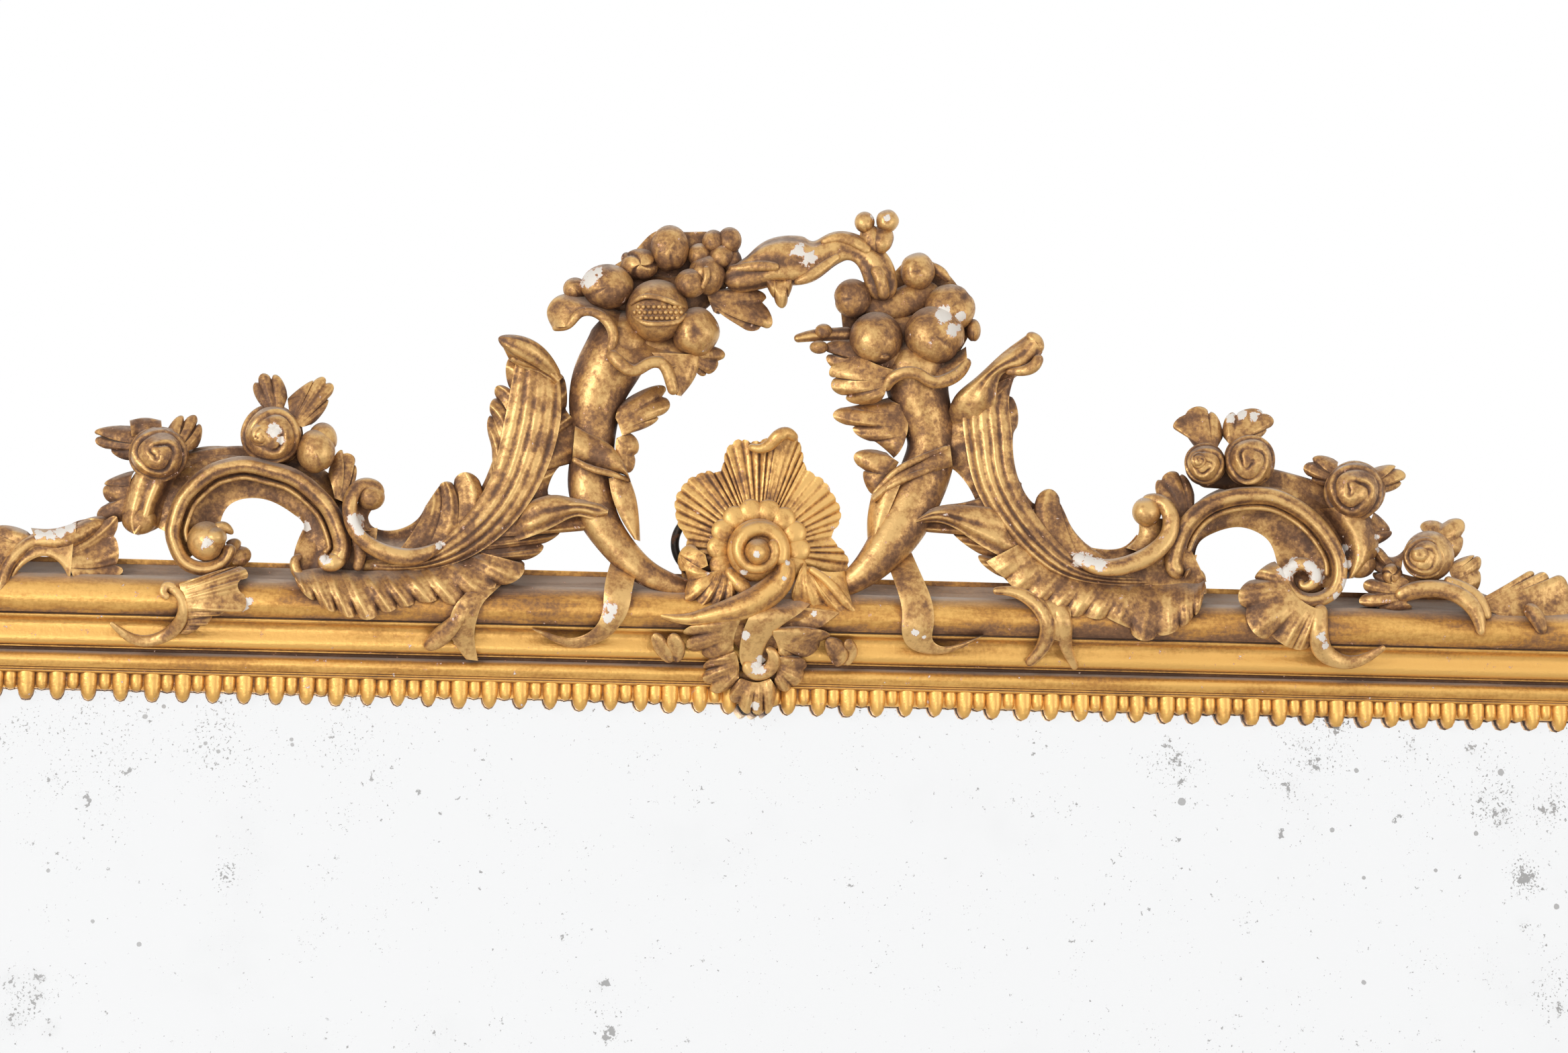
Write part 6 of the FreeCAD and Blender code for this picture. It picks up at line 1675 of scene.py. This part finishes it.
@dataclass
class Garland(Carving):
    """The knotted twig that links the two horns, and its berries."""

    side: str = "middle"

    def middle(self) -> Pieces:
        """Twig with stubs, and berries on a stalk."""
        twig = ((1078, 420, 17, 43), (1100, 413, 22, 44), (1125, 404, 27, 44), (1150, 392, 34, 44),
            (1175, 388, 36, 44), (1202, 388, 33, 44), (1224, 381, 24, 44), (1247, 369, 23, 44),
            (1272, 370, 20, 44), (1294, 384, 22, 44), (1308, 408, 24, 44), (1316, 448, 20, 44))
        return {"garland_twig": [
            Roll(twig, depth=0.8, flutes=5, groove=0.07, twist=0.016, count=110, ring=30),
            Fan([(1140, 408), (1160, 412), (1180, 406)], [(1138, 418), (1146, 436), (1150, 440), (1164, 459),
                (1174, 440), (1178, 432), (1184, 410)], 48, 46, bulge=4, thickness=12),
            Roll([(1084, 402, 6, 46), (1110, 398, 8, 49), (1140, 396, 8, 53), (1160, 398, 5, 55)]),
            Roll([(1182, 420, 5, 50), (1200, 414, 8, 52), (1225, 398, 8, 51), (1250, 380, 5, 50)]),
            Roll([(1222, 362, 5, 48), (1246, 354, 8, 49), (1272, 360, 9, 49), (1296, 376, 7, 49)]),
            Roll([(1300, 396, 8, 50), (1312, 420, 10, 50), (1316, 446, 8, 48)]),
        ], "garland_berries": [
            Bulb((1287, 331, 46), (15, 16), 7, Swell.CLEFT, 1.2),
            Bulb((1321, 329, 46), (17, 17), 8, Swell.DIMPLE),
            Roll([(1287, 336, 13, 44), (1298, 354, 16, 45), (1306, 376, 13, 46)], flutes=3, groove=0.07),
            Roll([(1320, 336, 15, 44), (1313, 356, 18, 46), (1308, 378, 14, 46)], flutes=3, groove=0.07),
        ]}


@dataclass
class Roses(Carving):
    """Roses, buds and leaves along the top of a C-scroll."""

    def left(self) -> Pieces:
        """Two roses, a cleft bud and seven leaves."""
        return {"roses_left": [
            Bulb((236, 676, 43), (43, 39), 18, Swell.ROSE, 0.4, (64, 72)),
            Bulb((405, 648, 43), (44, 44), 18, Swell.ROSE, 2.2, (64, 72)),
            Bulb((388, 648, 55), (17, 17), 7, Swell.ROSE, 4.0),
            Bulb((470, 672, 46), (29, 33), 12, Swell.CLEFT, 1.2),
            Bulb((480, 655, 42), (22, 26), 10, Swell.CLEFT, 0.6),
            Roll([(230, 700, 14, 36), (300, 690, 20, 34), (370, 686, 22, 34), (470, 700, 20, 34)],
                depth=0.5),
        ], "rose_leaves_left": [
            Fan([(208, 652), (210, 664), (206, 678)], [(194, 634), (148, 638), (154, 649), (143, 660),
                (168, 668), (178, 682), (198, 684)], 42, 36, thickness=9),
            Band([(193, 626), (216, 622), (240, 626)], [(196, 650), (218, 648), (242, 650)], 38, 42,
                ridges=2, flute=0.8, bulge=2),
            Fan([(250, 662), (260, 670), (270, 672)], [(244, 652), (262, 622), (273, 631), (290, 618),
                (290, 636), (301, 640), (294, 666)], 42, 37, thickness=9),
            Fan([(402, 622), (410, 618), (418, 620)], [(392, 606), (377, 582), (385, 570), (391, 556),
                (404, 568), (417, 562), (428, 592)], 46, 40, bow=0.0),
            Fan([(432, 626), (440, 632), (450, 636)], [(428, 594), (456, 571), (463, 574), (479, 561),
                (483, 572), (497, 577), (484, 595), (484, 610), (464, 632)], 46, 40, bow=0.0, lobe=16),
            Fan([(498, 742), (508, 746), (518, 750)], [(488, 708), (500, 676), (510, 674), (527, 680),
                (522, 694), (531, 706), (520, 736)], 44, 40, thickness=12),
            Fan([(196, 710), (192, 730), (192, 752)], [(202, 700), (162, 714), (167, 722), (153, 731),
                (170, 746), (146, 772), (186, 776)], 42, 36, thickness=9),
        ]}

    def right(self) -> Pieces:
        """A large rose, a bud, a small rose and six leaves."""
        return {"roses_right": [
            Bulb((2016, 731, 43), (43, 43), 18, Swell.ROSE, 0.9, (64, 72)),
            Bulb((1860, 686, 46), (36, 38), 13, Swell.ROSE, 5.0, (56, 64)),
            Bulb((1882, 694, 46), (14, 22), 8, Swell.CLEFT, 1.5),
            Bulb((1794, 691, 45), (30, 30), 12, Swell.ROSE, 3.0, (56, 64)),
            Bulb((1785, 686, 54), (13, 13), 5, Swell.ROSE, 1.0),
            Roll([(1780, 712, 14, 36), (1850, 712, 20, 34), (1930, 730, 22, 34), (2000, 750, 20, 34)],
                depth=0.5),
        ], "rose_leaves_right": [
            Fan([(1992, 704), (1994, 714), (1990, 724)], [(1992, 688), (1965, 678), (1956, 688), (1940, 697),
                (1954, 712), (1962, 722), (1984, 726)], 42, 36, thickness=9),
            Fan([(2040, 714), (2046, 722), (2046, 734)], [(2038, 700), (2066, 692), (2074, 697), (2092, 706),
                (2083, 716), (2078, 728), (2054, 734)], 42, 36, thickness=9),
            Fan([(2040, 774), (2042, 790), (2042, 806)], [(2044, 762), (2066, 782), (2061, 790), (2070, 798),
                (2046, 812)], 42, 37),
            Fan([(1792, 674), (1800, 668), (1810, 670)], [(1780, 668), (1764, 646), (1766, 642), (1746, 634),
                (1764, 616), (1784, 605), (1799, 618), (1813, 622), (1820, 652)], 46, 40, bow=0.0),
            Fan([(1832, 664), (1838, 658), (1846, 660)], [(1820, 650), (1825, 621), (1838, 620), (1862, 608),
                (1880, 615), (1896, 626), (1884, 638), (1876, 652), (1856, 660)], 46, 40, bow=0.0, lobe=16),
            Fan([(1752, 774), (1764, 772), (1776, 768)], [(1736, 760), (1720, 730), (1728, 714), (1742, 702),
                (1756, 708), (1770, 716), (1778, 744)], 46, 41, bulge=3, thickness=12),
        ]}


@dataclass
class OverRail(Carving):
    """Carving that laps over the top moulding: acanthus tails, leaf falls, ribbons and a pendant.

    The face that it lies on is a row of rises above the tongue tips, each with its stand proud of the plate.
    """

    rises: tuple = (-5, 0, 13, 15, 24, 27, 34, 41, 46, 52, 60, 77, 100)
    prouds: tuple = (5, 9, 10, 12.5, 15, 17, 21, 27, 31.8, 33.6, 32.5, 29, 26)

    def lie(self, rows: Rows, lift: float) -> Array:
        """Lay rows on the moulding; six rounds settle them.

        Args:
            rows: pixel u, pixel v and, for a roll, its radius.
            lift: millimetres from the moulding to the rows.
        Returns:
            The rows with the front at which each pixel meets the moulding.
        """
        table = np.asarray(rows, dtype=float)
        tips = Moulding().half_sizes()
        front = np.full(len(table), 40.0)
        for _ in range(6):
            height = VIEW.place(np.column_stack([table[:, :2], front]))[:, 2] / MM
            rise = height - tips[2] - tips[1]
            front = Moulding.plate_front + np.interp(rise, self.rises, self.prouds) + lift
        return np.column_stack([table, front])

    def roll(self, rows: Rows, lift: float = 1.0, depth: float = 0.7, flutes: int = 0) -> Roll:
        """A roll laid over the rail; rows are pixel u, pixel v and radius."""
        return Roll(self.lie(rows, lift), depth, flutes, 0.07 if flutes else 0.0, count=60)

    def strip(self, first: Rows, second: Rows, lift: float = 2.5, start: float = 36.0) -> Band:
        """A ribbon laid over the rail; it starts further back, behind what it hangs from.

        Args:
            first: pixels along one edge.
            second: pixels along the other.
            lift: millimetres above the moulding.
            start: front at which it starts.
        Returns:
            The ribbon.
        """
        edges = self.lie(first, lift), self.lie(second, lift)
        for edge in edges:
            edge[0, 2] = start
        return Band(*edges, bulge=1.5, thickness=5.0, count=60)

    def fan(self, root: Rows, edge: Rows, lift: float = 3.0, flute: float = 1.1, rooted: float = 1.5) -> Fan:
        """A leaf laid over the rail; its root lies higher than its lift, or lower where a stem covers it."""
        ends = self.lie(root, lift + rooted), self.lie(edge, lift - 1.5)
        return Fan(*ends, bulge=3.0, bow=0.0, flute=flute, thickness=8.0)

    def left(self) -> Pieces:
        """Tail, leaf fall and ribbon at the left."""
        return {"acanthus_tail_left": [
            self.strip([(712, 862), (692, 884), (676, 904), (669, 928), (674, 954), (694, 982)], [(752, 866),
                (732, 884), (718, 900), (710, 922), (706, 948), (712, 984)], 3.0, 46.0),
            self.roll([(690, 912, 8), (672, 934, 13), (652, 952, 14), (632, 965, 8)], 3, flutes=3),
        ], "leaf_fall_left": [
            self.roll([(250, 872, 7), (268, 888, 7), (272, 915, 9), (258, 938, 10), (232, 952, 9),
                (200, 952, 8), (164, 927, 3)], 2),
            self.roll([(262, 876, 5), (248, 872, 6), (243, 882, 6), (252, 890, 5)], 3),
            self.fan([(266, 868), (269, 880), (272, 904), (273, 927), (265, 943)], [(288, 862), (330, 848),
                (356, 842), (366, 848), (372, 862), (354, 870), (366, 882), (362, 910), (338, 898),
                (327, 916), (316, 908), (308, 930), (300, 922), (290, 940), (274, 944)], 5.0, 1.7, -3.0),
        ], "rail_ribbon_left": [
            self.strip([(914, 822), (900, 872), (898, 902), (891, 926), (874, 943), (848, 950), (818, 943),
                (792, 936)], [(952, 832), (941, 880), (936, 906), (924, 930), (904, 950), (878, 962),
                (846, 964), (796, 940)]),
        ]}

    def right(self) -> Pieces:
        """Tail, leaf fall and ribbon at the right."""
        return {"acanthus_tail_right": [
            self.roll([(1478, 880, 5), (1512, 882, 8), (1545, 902, 11), (1560, 930, 12), (1552, 964, 10),
                (1528, 990, 7)], 2, flutes=4),
            self.roll([(1572, 900, 12), (1583, 926, 13), (1586, 958, 10), (1602, 997, 5)]),
            self.strip([(1528, 880), (1546, 898), (1556, 924), (1562, 950)], [(1588, 886), (1594, 908),
                (1592, 934), (1588, 958)], 2.0, 46.0),
        ], "leaf_fall_right": [
            self.fan([(1910, 850), (1928, 884), (1950, 902), (1968, 908)], [(1898, 836), (1876, 848),
                (1874, 861), (1844, 882), (1856, 902), (1866, 942), (1894, 944), (1914, 962), (1922, 962),
                (1936, 968), (1950, 962)], 3.5, 2.2),
            self.roll([(1966, 900, 10), (1964, 935, 13), (1967, 965, 15), (1990, 983, 12), (2022, 984, 9),
                (2062, 963, 4)], 2),
        ], "rail_ribbon_right": [
            self.strip([(1316, 828), (1336, 880), (1343, 915), (1343, 945), (1356, 966), (1385, 974),
                (1420, 970), (1460, 948)], [(1352, 812), (1376, 866), (1387, 895), (1390, 930), (1388, 952),
                (1400, 962), (1424, 960), (1464, 946)]),
        ]}

    def middle(self) -> Pieces:
        """Pendant under the shell: a hooked stem with fans of small leaves and a bud at each side."""
        return {"shell_pendant": [
            self.strip([(1128, 890), (1120, 908), (1108, 935), (1101, 965), (1104, 990), (1120, 1006)],
                [(1215, 890), (1192, 912), (1166, 930), (1146, 950), (1136, 972), (1134, 990)], 5.0, 46.0),
            self.roll([(1110, 985, 10), (1122, 1000, 12), (1141, 999, 11), (1152, 984, 10), (1148, 970, 7),
                (1140, 966, 4)], 5, 0.8),
            self.strip([(1040, 905), (1100, 908), (1150, 904), (1200, 905), (1250, 912)], [(1096, 960),
                (1116, 985), (1140, 985), (1170, 950), (1222, 934)], 0.5, 48.0),
            self.fan([(1096, 974), (1100, 990), (1100, 1006)], [(1090, 968), (1053, 984), (1057, 996),
                (1046, 1010), (1058, 1018), (1070, 1032), (1100, 1014)]),
            self.fan([(1156, 982), (1158, 994), (1154, 1008)], [(1160, 976), (1194, 980), (1197, 998),
                (1192, 1016), (1176, 1018), (1168, 1030), (1152, 1018)]),
            self.fan([(1104, 1010), (1126, 1016), (1146, 1010)], [(1098, 1012), (1086, 1036), (1099, 1044),
                (1109, 1062), (1118, 1052), (1128, 1064), (1136, 1052), (1148, 1058), (1156, 1024)], 4),
            self.fan([(1102, 926), (1094, 944), (1092, 962)], [(1098, 914), (1028, 932), (1036, 945),
                (1022, 964), (1046, 966), (1062, 982), (1092, 972)]),
            self.fan([(1150, 946), (1156, 958), (1158, 970)], [(1152, 934), (1224, 938), (1224, 954),
                (1206, 976), (1184, 972), (1172, 980), (1160, 976)]),
            self.roll([(972, 944, 6), (986, 962, 13), (1000, 986, 7)], 2.5, flutes=3),
            self.roll([(998, 944, 9), (1008, 964, 13), (1008, 986, 6)], 2.5, flutes=3),
            self.roll([(1230, 952, 8), (1248, 972, 16), (1244, 992, 8)], 2.5, flutes=3),
            self.roll([(1258, 954, 8), (1269, 970, 8), (1258, 990, 5)], 2),
        ]}


@dataclass
class Sprigs(Carving):
    """Trailing sprigs at the outer ends of the crest; the left one runs on out of sight."""

    def left(self) -> Pieces:
        """A broken stem with an arch and plain leaves."""
        return {"sprig_left": [
            Roll([(172, 774, 5, 34), (140, 782, 12, 40), (110, 798, 14, 44), (84, 806, 13, 45),
                (56, 806, 11, 45), (30, 820, 10, 46), (12, 842, 9, 48), (2, 868, 9, 50), (-6, 892, 5, 51)],
                flutes=4, groove=0.06, count=80),
            Band([(-6, 884), (3, 848), (24, 816), (50, 794), (80, 788), (112, 778)], [(16, 884), (22, 858),
                (40, 838), (65, 828), (88, 838), (104, 864)], 44, 46, bulge=3, strands=1.6, strand=1.0,
                thickness=12),
            Fan([(84, 800), (94, 820), (102, 840), (110, 862)], [(108, 779), (140, 772), (152, 784),
                (174, 770), (166, 800), (177, 822), (168, 842), (175, 858), (122, 865)], 47, 42, bulge=-2,
                flute=1.4, thickness=12, lobe=16),
            Band([(46, 786), (80, 787), (114, 777)], [(54, 806), (84, 808), (112, 800)], 44, 48, bulge=3,
                thickness=12),
            Fan([(50, 806), (36, 816), (20, 830)], [(48, 798), (8, 782), (-18, 798), (-46, 796), (-70, 778),
                (-100, 766), (-104, 786), (-136, 786), (-128, 824), (-116, 856), (-40, 868)], 44, 38,
                bulge=3, thickness=12, lobe=16),
        ]}

    def right(self) -> Pieces:
        """A rose on an arched stem that trails off in leaves."""
        return {"sprig_right": [
            Bulb((2127, 828, 40), (38, 38), 13),
            Bulb((2120, 830, 47), (31, 30), 9, Swell.ROSE, 0.2, (56, 64)),
            Bulb((2114, 826, 54), (14, 12), 5, Swell.DIMPLE),
            Roll([(2076, 892, 10, 46), (2100, 880, 13, 48), (2138, 876, 13, 50), (2172, 886, 13, 52),
                (2197, 910, 12, 54), (2206, 946, 6, 55)], flutes=3, groove=0.06, count=60),
            Roll([(2150, 862, 6, 46), (2180, 876, 9, 48), (2204, 896, 9, 49), (2216, 922, 6, 50)]),
            Fan([(2126, 800), (2140, 804), (2150, 812)], [(2116, 790), (2122, 776), (2146, 782), (2176, 774),
                (2174, 800), (2176, 816), (2162, 832)], 38, 32, bulge=2, thickness=9),
            Fan([(2156, 844), (2160, 858), (2170, 872)], [(2164, 836), (2188, 827), (2190, 832), (2204, 832),
                (2199, 850), (2204, 866), (2196, 880)], 42, 37),
            Fan([(2086, 848), (2088, 862), (2090, 878)], [(2092, 812), (2078, 828), (2064, 826), (2046, 814),
                (2048, 834), (2042, 842), (2054, 850), (2050, 866), (2090, 886)], 44, 38),
            Fan([(2098, 866), (2096, 880), (2094, 898)], [(2088, 856), (2058, 852), (2050, 864), (2030, 868),
                (2042, 882), (2024, 898), (2052, 903), (2076, 911), (2102, 904)], 48, 43, bulge=3,
                thickness=12),
            Band([(2066, 846), (2094, 856), (2130, 862), (2168, 864)], [(2080, 898), (2096, 892),
                (2134, 880), (2172, 884)], 42, 45, bulge=2, thickness=10),
            Bulb((2072, 856, 44), (16, 17), 7, Swell.BUD),
            Fan([(2190, 890), (2206, 904), (2226, 914)], [(2200, 878), (2226, 888), (2246, 884), (2272, 852),
                (2282, 866), (2298, 852), (2302, 874), (2328, 860), (2332, 900), (2350, 915), (2330, 926),
                (2290, 934), (2240, 930)], 46, 42, bulge=3, bow=0.02, thickness=12, lobe=16),
            Roll([(2270, 902, 9, 50), (2286, 916, 12, 54), (2298, 944, 7, 54)], flutes=3, groove=0.08),
        ]}


def main() -> None:
    """Build every class in order."""
    logging.basicConfig(level=logging.INFO, format="%(name)s: %(message)s")
    VIEW.camera()
    Studio().build()
    Carcass().dress()
    crest = Gilding().material()
    rail = Gilding(name="rail_gilding", base=0.74, mottling=0.6, shade_and_grime=0.55, shine=0.6,
        stretch=(0.2, 1.0, 1.0), gold=(0.55, 0.26, 0.058), bright=(0.86, 0.49, 0.135), dust_above=1.4565,
        dust_share=0.95)
    stile = replace(rail, name="stile_gilding", stretch=(1.0, 1.0, 0.2))
    shell = Gilding(name="shell_gilding", base=0.71, mottling=0.7, gold=(0.54, 0.265, 0.075),
                    bright=(0.82, 0.49, 0.16))
    Moulding().build(rail.material(), stile.material())
    Shell().build(shell.material())
    fruit = Gilding(name="fruit_gilding", base=0.51).material()
    carvings = [Scroll("left"), Scroll("right"), Acanthus("left"), Acanthus("right"), Garland(),
                OverRail("middle")]
    for side in ("left", "right"):
        carvings += [Horn(side), Sprigs(side), OverRail(side)]
        for dark in (Fruit(side), Roses(side)):
            dark.build(fruit)
    for carving in carvings:
        carving.build(crest)


if __name__ == "__main__":
    main()
